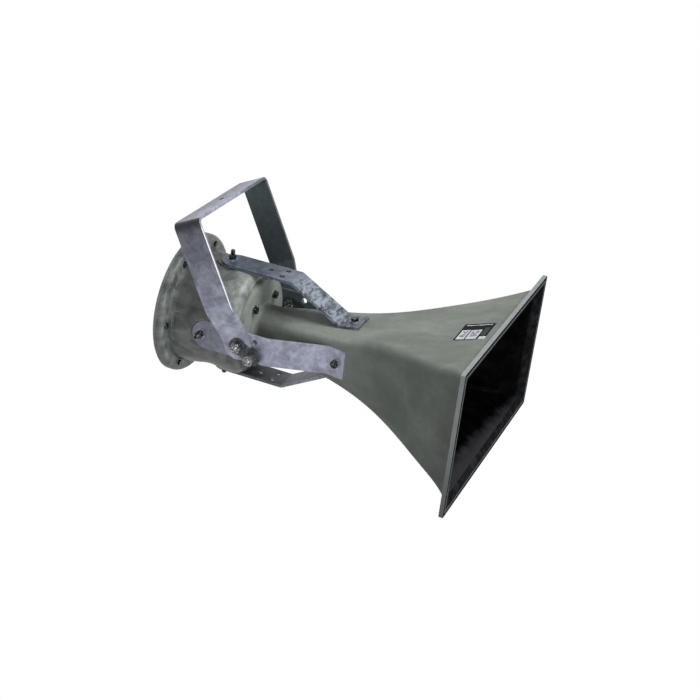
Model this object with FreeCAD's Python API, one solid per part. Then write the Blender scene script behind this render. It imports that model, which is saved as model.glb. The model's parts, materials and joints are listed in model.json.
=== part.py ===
import FreeCAD
import Part
import math
import os
from FreeCAD import Vector

# Public address horn loudspeaker on a bent flat-bar mounting yoke.
# Working axes: X along the horn towards its mouth, Z up, origin on the yoke's pivot axis.
# At the end everything moves so that the origin is the mounting hole in the yoke's base.

# Main sizes of the bell, outside
BELL_LENGTH = 421.0
NECK_HALF_WIDTH = 34.0
NECK_HALF_HEIGHT = 32.0
MOUTH_HALF_WIDTH = 204.0
MOUTH_HALF_HEIGHT = 111.0
# Its flare: share of the length, of the growth in width and in height, and corner radius
BELL_FLARE = [
    (0.0, 0.0, 0.0, 30.0),
    (0.1425, 0.0676, 0.0316, 23.0),
    (0.285, 0.1324, 0.0949, 17.0),
    (0.4276, 0.1941, 0.2089, 14.0),
    (0.5701, 0.2912, 0.3924, 13.0),
    (0.7126, 0.4765, 0.5823, 12.5),
    (0.8551, 0.7088, 0.7722, 12.0),
    (1.0, 1.0, 1.0, 12.0),
]
BELL_WALL = 5.5
RIM_OVERHANG = 16.4
RIM_THICKNESS = 7.2
RIM_LAND = 12.5
RIM_CORNER = 3.0
THROAT_RADIUS = 25.5
THROAT_FLANGE_INSET = 4.0
THROAT_FLANGE_THICKNESS = 7.5
THROAT_FLANGE_FRONT = -6.5
NECK_FILLET = 6.0

# Throat bolts
THROAT_BOLT_ROOM = 6.5
THROAT_BOLT_COUNT = 4
THROAT_BOLT_RADIUS = 4.0

# Cast housing, closed at the back by the cover
GASKET_THICKNESS = 1.0
HOUSING_FRONT_WALL = 8.0
HOUSING_ROOM = 11.0
HOUSING_BORE_CHAMFER = 8.0
SHOULDER_INSET = 3.0
SHOULDER_END = -30.0
SHOULDER_WALL = 11.2
BULGE_AT = -44.0
BULGE_WALL = 12.1
BULGE_END = -60.0
BULGE_END_WALL = 10.2
WAIST_AT = -80.0
WAIST_WALL = 8.5
WAIST_END = -100.0
WAIST_END_WALL = 11.6
SEAT_WALL = 10.0
FLANGE_FRONT = -136.0
FLANGE_THICKNESS = 10.5
FLANGE_ROOT_WALL = 17.0
FLANGE_OVERHANG = 21.0
FLANGE_ROUND = 8.0
BOSS_RADIUS = 22.0

# Back cover and its screws
COVER_THICKNESS = 7.0
COVER_EDGE = 3.0
COVER_DISH_INSET = 13.0
COVER_DISH_HEIGHT = 4.0
COVER_SPIGOT_DEPTH = 4.0
COVER_SPIGOT_WALL = 7.0
SPIGOT_CLEARANCE = 0.3
COVER_SCREW_INSET = 15.0
COVER_SCREW_COUNT = 6
COVER_SCREW_RADIUS = 3.0

# Flat bar of the struts and the yoke
BAR_THICKNESS = 5.0
BAR_WIDTH = 50.0
BEND_RADIUS = 6.0

# Struts between the housing and the bell
STRUT_TAIL = -89.0
STRUT_STUD_AT = -73.0
STRUT_BEND_AT = 50.0
STRUT_FOOT_SHARE = 0.349
STRUT_FOOT_LENGTH = 34.0
STRUT_BOLT_SHARE = 0.53
FOOT_CLEARANCE = 0.05
PAIR_EDGE = 12.3
STUD_RADIUS = 4.0
STUD_DEPTH = 7.0
STUD_STAND = 18.0

# Yoke
YOKE_LEAN = 26.6
YOKE_HEIGHT = 230.0
YOKE_JOGGLE = 17.2
YOKE_TAB_TOP = 20.0
YOKE_ARM_START = 72.0
YOKE_GAP = 0.3
MOUNT_HOLE_RADIUS = 5.5

# Pivot and lock bolts
PIVOT_RADIUS = 5.0
PIVOT_FIT = 0.05
PIVOT_STAND = 14.0
LOCK_STAND = 21.0
LOCK_CLEARANCE = 1.1
PIVOT_NUT = 8.0
PIVOT_ACROSS_FLATS = 17.0
PIVOT_HEAD = 6.4
FENDER_GAP = 1.1
FENDER_THICKNESS = 2.5

# Common hardware
HOLE_CLEARANCE = 0.2
END_CLEARANCE = 1.0
THREAD_CLEARANCE = 0.02
SMALL_ACROSS_FLATS = 13.0
SMALL_HEAD = 5.3
SMALL_NUT = 6.5
SMALL_WASHER_RADIUS = 8.5
SMALL_WASHER_THICKNESS = 1.6
SCREW_ACROSS_FLATS = 10.0
SCREW_HEAD = 4.0

# Compression driver inside the housing
FRONT_PLATE_THICKNESS = 12.0
SNOUT_WALL = 4.5
POLE_RADIUS = 37.0
MAGNET_THICKNESS = 26.0
MAGNET_ROOM = 9.0
MAGNET_INSET = 2.0
REAR_PLATE_THICKNESS = 10.0
GAP_WIDTH = 2.4
PLUG_RECESS_WALL = 3.0
PLUG_RECESS_DEPTH = 10.0
PLUG_FIT = 0.1
PLUG_DOME = 7.6
PLUG_SLOTS = 9
PLUG_SLOT_WIDTH = 1.6
PLUG_SLOT_START = 6.0
PLUG_SLOT_MARGIN = 2.0
POLE_EXIT_SMALL = 20.0
DIAPHRAGM_LIFT = 0.8
DIAPHRAGM_THICKNESS = 0.8
DIAPHRAGM_DOME = 9.0
DIAPHRAGM_EDGE = 1.3
COIL_THICKNESS = 1.0
COIL_CLEARANCE = 0.7
COIL_LENGTH = 12.0
SURROUND_GAP = 0.3
SURROUND_ROLL_WIDTH = 6.7
SURROUND_ROLL_HEIGHT = 3.0
CLAMP_RING_WIDTH = 13.0
CLAMP_RING_THICKNESS = 4.4
CAP_ROOM = 1.5
CAP_WALL = 4.0
CAP_FLANGE_WIDTH = 9.5
CAP_HEIGHT = 30.0
CAP_FLANGE_THICKNESS = 4.0
CAP_SCREW_COUNT = 4
CAP_SCREW_RADIUS = 2.0
CAP_SCREW_GRIP = 10.0
CAP_SCREW_HEAD = 3.0
DAMPING_THICKNESS = 8.0
DAMPING_INSET = 4.5

# Terminals and cable entry
TERMINAL_SIZE = (12.0, 40.0, 18.0)
TERMINAL_UP = 40.0
TERMINAL_SPREAD = 12.0
TERMINAL_SCREW_RADIUS = 3.0
TERMINAL_SCREW_HEAD = 2.0
POST_RADIUS = 2.5
POST_STAND = 10.0
LEAD_RADIUS = 1.0
GLAND_DOWN = 50.0
GLAND_THREAD = 8.0
GLAND_BORE = 4.0
GLAND_HEX = 22.0
GLAND_HEX_HEIGHT = 6.0
GLAND_CAP_HEIGHT = 15.0
GLAND_CAP_BEVEL = 3.0
GLAND_NUT_HEIGHT = 5.0

# Places worked out from the sizes above
BIG = 1000.0
QUARTER_TURN = 90.0
X_AXIS = Vector(1, 0, 0)
BACKWARD = Vector(-1, 0, 0)
ORIGIN = Vector(0, 0, 0)
BAR_HALF = BAR_WIDTH / 2
LOCK_REACH = BAR_HALF + PIVOT_RADIUS + LOCK_CLEARANCE
PAIR_HALF_SPACING = BAR_HALF - PAIR_EDGE
PAIR_AHEAD = math.sqrt(LOCK_REACH ** 2 - PAIR_HALF_SPACING ** 2)
FENDER_RADIUS = (LOCK_REACH - FENDER_GAP) / 2
BELL_STATIONS = [
    (BELL_LENGTH * along, NECK_HALF_WIDTH + (MOUTH_HALF_WIDTH - NECK_HALF_WIDTH) * wider,
     NECK_HALF_HEIGHT + (MOUTH_HALF_HEIGHT - NECK_HALF_HEIGHT) * higher, corner)
    for along, wider, higher, corner in BELL_FLARE]
STRUT_FOOT_START = BELL_LENGTH * STRUT_FOOT_SHARE
STRUT_FOOT_END = STRUT_FOOT_START + STRUT_FOOT_LENGTH
COIL_INNER = POLE_RADIUS + COIL_CLEARANCE
COIL_OUTER = COIL_INNER + COIL_THICKNESS
DIAPHRAGM_RADIUS = COIL_OUTER + DIAPHRAGM_EDGE
SURROUND_START = DIAPHRAGM_RADIUS + SURROUND_GAP
SURROUND_ROLL_RADIUS = SURROUND_START + SURROUND_ROLL_WIDTH
CLAMP_RING_BORE = SURROUND_ROLL_RADIUS + END_CLEARANCE
CLAMP_RING_RADIUS = CLAMP_RING_BORE + CLAMP_RING_WIDTH
CAP_INNER_RADIUS = CLAMP_RING_RADIUS + CAP_ROOM
CAP_OUTER_RADIUS = CAP_INNER_RADIUS + CAP_WALL
PLATE_RADIUS = CAP_OUTER_RADIUS + CAP_FLANGE_WIDTH
CAP_SCREW_CIRCLE = (CAP_OUTER_RADIUS + PLATE_RADIUS) / 2
SNOUT_RADIUS = THROAT_RADIUS + SNOUT_WALL
PLUG_SLOT_END = POLE_EXIT_SMALL - PLUG_SLOT_MARGIN
PLUG_RECESS_RADIUS = POLE_RADIUS - PLUG_RECESS_WALL
MAGNET_BORE = POLE_RADIUS + MAGNET_ROOM
MAGNET_RADIUS = PLATE_RADIUS - MAGNET_INSET
HOUSING_BORE = PLATE_RADIUS + HOUSING_ROOM
HOUSING_SHOULDER_RADIUS = HOUSING_BORE - SHOULDER_INSET
STRUT_SEAT = HOUSING_BORE + SEAT_WALL
FLANGE_ROOT_RADIUS = HOUSING_BORE + FLANGE_ROOT_WALL
FLANGE_RADIUS = FLANGE_ROOT_RADIUS + FLANGE_OVERHANG
COVER_SCREW_CIRCLE = FLANGE_RADIUS - COVER_SCREW_INSET
COVER_DISH_RADIUS = HOUSING_BORE - COVER_DISH_INSET
THROAT_FLANGE_RADIUS = HOUSING_SHOULDER_RADIUS - THROAT_FLANGE_INSET
THROAT_BOLT_CIRCLE = NECK_HALF_WIDTH + NECK_FILLET + SMALL_WASHER_RADIUS + THROAT_BOLT_ROOM
FLANGE_BACK = FLANGE_FRONT - FLANGE_THICKNESS
COVER_FRONT = FLANGE_BACK - GASKET_THICKNESS
COVER_BACK = COVER_FRONT - COVER_THICKNESS
COVER_DISH_BACK = COVER_BACK - COVER_DISH_HEIGHT
THROAT_FLANGE_BACK = THROAT_FLANGE_FRONT - THROAT_FLANGE_THICKNESS
HOUSING_FRONT = THROAT_FLANGE_BACK - GASKET_THICKNESS
HOUSING_INNER_FRONT = HOUSING_FRONT - HOUSING_FRONT_WALL
DRIVER_FRONT = HOUSING_INNER_FRONT - GASKET_THICKNESS
FRONT_PLATE_BACK = DRIVER_FRONT - FRONT_PLATE_THICKNESS
MAGNET_BACK = FRONT_PLATE_BACK - MAGNET_THICKNESS
REAR_PLATE_BACK = MAGNET_BACK - REAR_PLATE_THICKNESS
POLE_BACK = REAR_PLATE_BACK + DIAPHRAGM_LIFT
DIAPHRAGM_FRONT = REAR_PLATE_BACK
DIAPHRAGM_BACK = DIAPHRAGM_FRONT - DIAPHRAGM_THICKNESS
CAP_BACK = REAR_PLATE_BACK - CAP_HEIGHT
STRUT_FACE = STRUT_SEAT + BAR_THICKNESS
TAB_INNER = STRUT_FACE + YOKE_GAP
TAB_OUTER = TAB_INNER + BAR_THICKNESS
YOKE_HALF_WIDTH = TAB_OUTER + YOKE_JOGGLE
FENDER_SEAT = TAB_OUTER + YOKE_GAP
MOUTH_BACK = BELL_LENGTH
MOUTH_FRONT = MOUTH_BACK + RIM_THICKNESS
RIM_HALF_WIDTH = MOUTH_HALF_WIDTH + RIM_OVERHANG
RIM_HALF_HEIGHT = MOUTH_HALF_HEIGHT + RIM_OVERHANG
FOOT_BOLT_REACH = BAR_THICKNESS + BELL_WALL - END_CLEARANCE
COVER_SCREW_GRIP = FLANGE_THICKNESS + GASKET_THICKNESS + COVER_THICKNESS - END_CLEARANCE
THROAT_BOLT_GRIP = (SMALL_WASHER_THICKNESS + THROAT_FLANGE_THICKNESS + 2 * GASKET_THICKNESS
                    + HOUSING_FRONT_WALL + FRONT_PLATE_THICKNESS - END_CLEARANCE)

# Turn about the horn's axis that carries the top strut to each side
STRUT_TURNS = {"top": 0, "left": -90, "bottom": 180, "right": 90}


def tube_x(x0, x1, outer, inner=0.0):
    """A disc or ring about the horn's axis, from x0 to x1."""
    low, high = min(x0, x1), max(x0, x1)
    solid = Part.makeCylinder(outer, high - low, Vector(low, 0, 0), X_AXIS)
    if inner > 0:
        solid = solid.cut(Part.makeCylinder(inner, high - low + 2, Vector(low - 1, 0, 0), X_AXIS))
    return solid


def aim(shape, place, direction):
    """Turns a shape built up +Z to face a direction, and moves its base to a place."""
    shape.Placement = FreeCAD.Placement(place, FreeCAD.Rotation(Vector(0, 0, 1), direction))
    return shape


def rod(radius, length, place, direction):
    return Part.makeCylinder(radius, length, place, direction)


def hexagon(across_flats, height, place, direction):
    """Hexagonal prism whose base is at the place."""
    reach = across_flats / math.sqrt(3)
    corners = [Vector(reach * math.cos(math.radians(60 * k)), reach * math.sin(math.radians(60 * k)), 0)
               for k in range(7)]
    prism = Part.Face(Part.makePolygon(corners)).extrude(Vector(0, 0, height))
    return aim(prism, place, direction)


def washer(radius, hole, thickness, place, direction):
    return rod(radius, thickness, place, direction).cut(rod(hole, thickness, place, direction))


def small_washer(place, direction):
    hole = STUD_RADIUS + HOLE_CLEARANCE
    return washer(SMALL_WASHER_RADIUS, hole, SMALL_WASHER_THICKNESS, place, direction)


def nut(across_flats, thread, height, place, direction):
    hole = rod(thread + THREAD_CLEARANCE, height, place, direction)
    return hexagon(across_flats, height, place, direction).cut(hole)


def hex_bolt(across_flats, head, radius, grip, place, direction):
    """Bolt with its head on the place and its shank running back against the direction."""
    shank = rod(radius, grip, place, direction * -1)
    return hexagon(across_flats, head, place, direction).fuse(shank)


def ring_places(count, circle, first_angle, x):
    """Evenly spaced places on a circle about the horn's axis."""
    places = []
    for k in range(count):
        turn = math.radians(first_angle + 360.0 * k / count)
        places.append(Vector(x, circle * math.cos(turn), circle * math.sin(turn)))
    return places


def throat_bolt_ring(x):
    return ring_places(THROAT_BOLT_COUNT, THROAT_BOLT_CIRCLE, QUARTER_TURN / 2, x)


def cover_screw_ring(x):
    return ring_places(COVER_SCREW_COUNT, COVER_SCREW_CIRCLE, 0, x)


def cap_screw_ring(x):
    return ring_places(CAP_SCREW_COUNT, CAP_SCREW_CIRCLE, 0, x)


def drill(shape, places, radius, direction, depth=BIG / 10):
    """Cuts the same hole at each place, starting a little outside the surface."""
    for place in places:
        shape = shape.cut(rod(radius, depth + END_CLEARANCE, place - direction * END_CLEARANCE, direction))
    return shape


def flat_edges(shape, x, inner, outer):
    """Edges across the horn's axis at x, whose reach in Z lies between two radii."""
    return [edge for edge in shape.Edges
            if abs(edge.BoundBox.XMin - x) < 0.01 and edge.BoundBox.XLength < 0.01
            and inner < max(abs(edge.BoundBox.ZMin), abs(edge.BoundBox.ZMax)) < outer]


def turned(vector, angle):
    """A vector turned about the horn's axis."""
    return FreeCAD.Rotation(X_AXIS, angle).multVec(vector)


def rounded_section(x, half_width, half_height, corner):
    """Wire of a rectangle with round corners across the horn's axis."""
    edges = []
    corners = [(1, 1, 0), (-1, 1, QUARTER_TURN), (-1, -1, 2 * QUARTER_TURN), (1, -1, 3 * QUARTER_TURN)]
    for k, (side, up, start) in enumerate(corners):
        centre = Vector(x, side * (half_width - corner), up * (half_height - corner))
        ends = []
        for share in (0, 0.5, 1):
            angle = math.radians(start + share * QUARTER_TURN)
            ends.append(centre + Vector(0, corner * math.cos(angle), corner * math.sin(angle)))
        edges.append(Part.Arc(*ends).toShape())
        next_side, next_up, next_start = corners[(k + 1) % 4]
        angle = math.radians(next_start)
        next_centre = Vector(x, next_side * (half_width - corner), next_up * (half_height - corner))
        target = next_centre + Vector(0, corner * math.cos(angle), corner * math.sin(angle))
        edges.append(Part.makeLine(ends[2], target))
    return Part.Wire(edges)


def revolved(points_or_edges):
    """Solid made by turning a closed profile of the XZ plane about the horn's axis."""
    face = Part.Face(Part.Wire(points_or_edges))
    return face.revolve(ORIGIN, X_AXIS, 360)


def lines(points):
    """Straight edges through (x, radius) points in the XZ plane."""
    places = [Vector(x, 0, r) for x, r in points]
    return [Part.makeLine(a, b) for a, b in zip(places, places[1:])]


def bell_outside():
    sections = [rounded_section(*station) for station in BELL_STATIONS]
    return Part.makeLoft(sections, True, False)


def inset_section(x, half_width, half_height, corner):
    """The same section on the inside of the bell's wall."""
    return rounded_section(x, half_width - BELL_WALL, half_height - BELL_WALL, corner - BELL_WALL)


def bell_inside():
    """Air inside the bell: a round throat, the flare and a bevelled lip at the mouth."""
    sections = [rounded_section(THROAT_FLANGE_BACK - 1, THROAT_RADIUS, THROAT_RADIUS, THROAT_RADIUS - 0.5)]
    for x, half_width, half_height, corner in BELL_STATIONS:
        sections.append(inset_section(x, half_width, half_height, corner))
    air = Part.makeLoft(sections, True, False)
    lip_start = inset_section(*BELL_STATIONS[-1])
    lip_end = rounded_section(MOUTH_FRONT, RIM_HALF_WIDTH - RIM_LAND, RIM_HALF_HEIGHT - RIM_LAND,
                              BELL_STATIONS[-1][3])
    lip = Part.makeLoft([lip_start, lip_end], True, True)
    beyond = Part.Face(lip_end).extrude(Vector(1, 0, 0))
    return air.fuse([lip, beyond])


def make_horn_bell(outside, foot_bolts):
    """Flared bell with its rectangular mouth rim and the round flange at the throat."""
    neck = Part.Face(rounded_section(*BELL_STATIONS[0])).extrude(Vector(THROAT_FLANGE_FRONT, 0, 0))
    flange = tube_x(THROAT_FLANGE_BACK, THROAT_FLANGE_FRONT, THROAT_FLANGE_RADIUS)
    rim_wire = rounded_section(MOUTH_BACK, RIM_HALF_WIDTH, RIM_HALF_HEIGHT, RIM_CORNER)
    rim = Part.Face(rim_wire).extrude(Vector(RIM_THICKNESS, 0, 0))
    neck_and_flange = neck.fuse(flange).removeSplitter()
    neck_and_flange = neck_and_flange.makeFillet(
        NECK_FILLET, flat_edges(neck_and_flange, THROAT_FLANGE_FRONT, 0, THROAT_BOLT_CIRCLE))
    bell = outside.fuse([neck_and_flange, rim]).cut(bell_inside())
    bell = drill(bell, throat_bolt_ring(THROAT_FLANGE_FRONT), THROAT_BOLT_RADIUS + HOLE_CLEARANCE, BACKWARD)
    depth = FOOT_BOLT_REACH + HOLE_CLEARANCE
    for place, outward in foot_bolts:
        bell = drill(bell, [place], STUD_RADIUS + THREAD_CLEARANCE, outward * -1, depth)
    return bell


def make_throat_gasket():
    ring = tube_x(HOUSING_FRONT, THROAT_FLANGE_BACK, THROAT_FLANGE_RADIUS - 1, THROAT_RADIUS + 1)
    return drill(ring, throat_bolt_ring(THROAT_FLANGE_BACK), THROAT_BOLT_RADIUS + HOLE_CLEARANCE, BACKWARD)


def make_driver_housing():
    """Cast drum with a waist, a round shoulder, four flats for the struts and a screwed flange."""
    front = Vector(HOUSING_FRONT, 0, HOUSING_SHOULDER_RADIUS)
    shoulder = Vector(SHOULDER_END, 0, HOUSING_BORE + SHOULDER_WALL)
    shoulder_middle = Vector(
        front.x + (shoulder.x - front.x) * 0.4, 0, shoulder.z - (shoulder.z - front.z) * 0.28)
    bulge = Vector(BULGE_AT, 0, HOUSING_BORE + BULGE_WALL)
    bulge_end = Vector(BULGE_END, 0, HOUSING_BORE + BULGE_END_WALL)
    waist = Vector(WAIST_AT, 0, HOUSING_BORE + WAIST_WALL)
    waist_end = Vector(WAIST_END, 0, HOUSING_BORE + WAIST_END_WALL)
    outline = [Part.Arc(*points).toShape() for points in (
        (front, shoulder_middle, shoulder), (shoulder, bulge, bulge_end), (bulge_end, waist, waist_end))]
    outline += lines([
        (WAIST_END, waist_end.z), (FLANGE_FRONT, FLANGE_ROOT_RADIUS), (FLANGE_FRONT, FLANGE_RADIUS),
        (FLANGE_BACK, FLANGE_RADIUS), (FLANGE_BACK, 0), (HOUSING_FRONT, 0), (HOUSING_FRONT, front.z)])
    body = revolved(outline)
    rim = flat_edges(body, FLANGE_FRONT, FLANGE_RADIUS - 1, FLANGE_RADIUS + 1)
    body = body.makeFillet(FLANGE_ROUND, rim)
    for angle in STRUT_TURNS.values():
        boss = rod(BOSS_RADIUS, STRUT_SEAT - HOUSING_BORE + 2, Vector(STRUT_STUD_AT, 0, HOUSING_BORE - 2),
                   Vector(0, 0, 1))
        boss.rotate(ORIGIN, X_AXIS, angle)
        body = body.fuse(boss)
    bore = tube_x(FLANGE_BACK - 1, HOUSING_INNER_FRONT, HOUSING_BORE)
    body = body.cut(bore.makeChamfer(HOUSING_BORE_CHAMFER, flat_edges(bore, HOUSING_INNER_FRONT, 0, BIG)))
    body = body.cut(tube_x(HOUSING_INNER_FRONT - 1, HOUSING_FRONT + 1, THROAT_RADIUS))
    flat_start = FLANGE_FRONT + FLANGE_ROOT_RADIUS - STRUT_SEAT
    for angle in STRUT_TURNS.values():
        flat = Part.makeBox(HOUSING_FRONT - flat_start, BAR_WIDTH + 2, FLANGE_RADIUS - STRUT_SEAT,
                            Vector(flat_start, -BAR_HALF - 1, STRUT_SEAT))
        stud_hole = rod(STUD_RADIUS + THREAD_CLEARANCE, STUD_DEPTH + 1,
                        Vector(STRUT_STUD_AT, 0, STRUT_SEAT + 1), Vector(0, 0, -1))
        for tool in (flat, stud_hole):
            tool.rotate(ORIGIN, X_AXIS, angle)
            body = body.cut(tool)
    body = drill(body, throat_bolt_ring(HOUSING_FRONT), THROAT_BOLT_RADIUS + HOLE_CLEARANCE, BACKWARD)
    return drill(body, cover_screw_ring(FLANGE_FRONT), COVER_SCREW_RADIUS + HOLE_CLEARANCE, BACKWARD)


def make_cover_gasket():
    ring = tube_x(COVER_FRONT, FLANGE_BACK, FLANGE_RADIUS - 1, HOUSING_BORE + 1)
    return drill(ring, cover_screw_ring(FLANGE_BACK), COVER_SCREW_RADIUS + HOLE_CLEARANCE, BACKWARD)


def make_rear_cover():
    """Round cover with a raised middle, a locating ring and a hole for the cable gland."""
    spigot = HOUSING_BORE - SPIGOT_CLEARANCE
    profile = lines([
        (COVER_FRONT, 0), (COVER_FRONT, spigot - COVER_SPIGOT_WALL),
        (COVER_FRONT + COVER_SPIGOT_DEPTH, spigot - COVER_SPIGOT_WALL),
        (COVER_FRONT + COVER_SPIGOT_DEPTH, spigot), (COVER_FRONT, spigot), (COVER_FRONT, FLANGE_RADIUS),
        (COVER_BACK + COVER_EDGE, FLANGE_RADIUS), (COVER_BACK, FLANGE_RADIUS - COVER_EDGE),
        (COVER_BACK, COVER_DISH_RADIUS + 2 * COVER_DISH_HEIGHT), (COVER_DISH_BACK, COVER_DISH_RADIUS),
        (COVER_DISH_BACK, 0), (COVER_FRONT, 0)])
    cover = revolved(profile)
    cover = drill(cover, cover_screw_ring(COVER_FRONT), COVER_SCREW_RADIUS + THREAD_CLEARANCE, BACKWARD)
    return drill(cover, [gland_place(COVER_FRONT)], GLAND_THREAD + HOLE_CLEARANCE, BACKWARD)


def make_cover_screws():
    return [hex_bolt(SCREW_ACROSS_FLATS, SCREW_HEAD, COVER_SCREW_RADIUS, COVER_SCREW_GRIP, place, X_AXIS)
            for place in cover_screw_ring(FLANGE_FRONT)]


def make_throat_washers():
    return [small_washer(place, X_AXIS) for place in throat_bolt_ring(THROAT_FLANGE_FRONT)]


def make_throat_bolts():
    seats = throat_bolt_ring(THROAT_FLANGE_FRONT + SMALL_WASHER_THICKNESS)
    return [hex_bolt(SMALL_ACROSS_FLATS, SMALL_HEAD, THROAT_BOLT_RADIUS, THROAT_BOLT_GRIP, seat, X_AXIS)
            for seat in seats]


def offset_points(points, distance):
    """Points of a path moved sideways, to its left, with mitred corners."""
    moved = []
    for k, point in enumerate(points):
        before = (point - points[k - 1]).normalize() if k else (points[1] - point).normalize()
        after = (points[k + 1] - point).normalize() if k + 1 < len(points) else before
        normal_before = Vector(-before.z, 0, before.x)
        normal_after = Vector(-after.z, 0, after.x)
        middle = normal_before + normal_after
        moved.append(point + middle * (2 * distance / middle.dot(middle)))
    return moved


def bent_bar(path, thickness, width):
    """Flat bar along a path in the XZ plane, thickened to the path's left, with rounded bends."""
    far = offset_points(path, thickness)
    outline = path + far[::-1] + [path[0]]
    face = Part.Face(Part.makePolygon(outline))
    bar = face.extrude(Vector(0, width, 0))
    bar.translate(Vector(0, -width / 2, 0))
    for k in range(1, len(path) - 1):
        before = path[k] - path[k - 1]
        after = path[k + 1] - path[k]
        turns_left = before.z * after.x - before.x * after.z < 0
        near_radius = BEND_RADIUS + (thickness if turns_left else 0)
        far_radius = BEND_RADIUS + (0 if turns_left else thickness)
        for corner, radius in ((path[k], near_radius), (far[k], far_radius)):
            edges = [edge for edge in bar.Edges
                     if (edge.CenterOfMass - Vector(corner.x, 0, corner.z)).Length < 0.01]
            bar = bar.makeFillet(radius, edges)
    return bar


def foot_line(outside, angle):
    """Start and end of a strut's foot on the bell's wall, as heights above the horn's axis."""
    heights = []
    for x in (STRUT_FOOT_START, STRUT_FOOT_END):
        ray = Part.makeLine(Vector(x, 0, 0), Vector(x, 0, BIG))
        ray.rotate(ORIGIN, X_AXIS, angle)
        heights.append(Vector(x, 0, ray.common(outside).Length + FOOT_CLEARANCE))
    return heights


def foot_bolt(foot, angle):
    """Place on a foot's outer face, and the direction out of it."""
    along = (foot[1] - foot[0]).normalize()
    outward = Vector(-along.z, 0, along.x)
    place = foot[0] + (foot[1] - foot[0]) * STRUT_BOLT_SHARE + outward * BAR_THICKNESS
    return turned(place, angle), turned(outward, angle)


def make_strut(foot, angle):
    """Bent bar with a round tail, a stud hole, the pivot hole, the pair of holes and a flat foot."""
    path = [Vector(STRUT_TAIL, 0, STRUT_SEAT), Vector(STRUT_BEND_AT, 0, STRUT_SEAT)] + foot
    bar = bent_bar(path, BAR_THICKNESS, BAR_WIDTH)
    tail_centre = STRUT_TAIL + BAR_HALF
    keep = Part.makeBox(BIG, BAR_WIDTH, BIG, Vector(tail_centre, -BAR_HALF, 0))
    keep = keep.fuse(rod(BAR_HALF, BIG, Vector(tail_centre, 0, 0), Vector(0, 0, 1)))
    bar = bar.common(keep)
    holes = [(STRUT_STUD_AT, 0, STUD_RADIUS), (0, 0, PIVOT_RADIUS)]
    holes += [(PAIR_AHEAD, side * PAIR_HALF_SPACING, PIVOT_RADIUS) for side in (-1, 1)]
    for x, y, radius in holes:
        bar = bar.cut(rod(radius + HOLE_CLEARANCE, BIG, Vector(x, y, 0), Vector(0, 0, 1)))
    place, outward = foot_bolt(foot, 0)
    bar = bar.cut(rod(STUD_RADIUS + HOLE_CLEARANCE, 2 * BAR_THICKNESS, place + outward, outward * -1))
    bar.rotate(ORIGIN, X_AXIS, angle)
    return bar


def strut_stud_parts():
    """Stud, washer and nut at the tail of each strut."""
    studs, washers, nuts = [], [], []
    for angle in STRUT_TURNS.values():
        outward = turned(Vector(0, 0, 1), angle)
        seat = Vector(STRUT_STUD_AT, 0, 0) + outward * STRUT_FACE
        root = seat - outward * (BAR_THICKNESS + STUD_DEPTH)
        top = seat + outward * SMALL_WASHER_THICKNESS
        studs.append(rod(STUD_RADIUS, BAR_THICKNESS + STUD_DEPTH + STUD_STAND, root, outward))
        washers.append(small_washer(seat, outward))
        nuts.append(nut(SMALL_ACROSS_FLATS, STUD_RADIUS, SMALL_NUT, top, outward))
    return studs, washers, nuts


def foot_bolt_parts(foot_bolts):
    """Bolt and washer at the foot of each strut."""
    bolts, washers = [], []
    for place, outward in foot_bolts:
        washers.append(small_washer(place, outward))
        grip = SMALL_WASHER_THICKNESS + FOOT_BOLT_REACH
        bolts.append(hex_bolt(SMALL_ACROSS_FLATS, SMALL_HEAD, STUD_RADIUS, grip,
                              place + outward * SMALL_WASHER_THICKNESS, outward))
    return bolts, washers


def make_mounting_yoke():
    """Flat bar bent into a bail, with joggled arms, round tabs and one mounting hole."""
    half_path = [(TAB_OUTER, -BAR_HALF), (TAB_OUTER, YOKE_TAB_TOP), (YOKE_HALF_WIDTH, YOKE_ARM_START),
                 (YOKE_HALF_WIDTH, YOKE_HEIGHT)]
    path = [Vector(-side, 0, up) for side, up in half_path]
    path += [Vector(side, 0, up) for side, up in half_path[::-1]]
    path = path[::-1]
    bar = bent_bar(path, BAR_THICKNESS, BAR_WIDTH)
    keep = Part.makeBox(BIG, BAR_WIDTH, BIG, Vector(-BIG / 2, -BAR_HALF, 0))
    keep = keep.fuse(rod(BAR_HALF, BIG, Vector(-BIG / 2, 0, 0), X_AXIS))
    bar = bar.common(keep)
    bar = bar.cut(rod(PIVOT_RADIUS + PIVOT_FIT, BIG, Vector(-BIG / 2, 0, 0), X_AXIS))
    bar = bar.cut(rod(MOUNT_HOLE_RADIUS, BIG, Vector(0, 0, 0), Vector(0, 0, 1)))
    bar.rotate(ORIGIN, Vector(0, 0, 1), 90)
    bar.rotate(ORIGIN, Vector(0, 1, 0), -YOKE_LEAN)
    return bar


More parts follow.
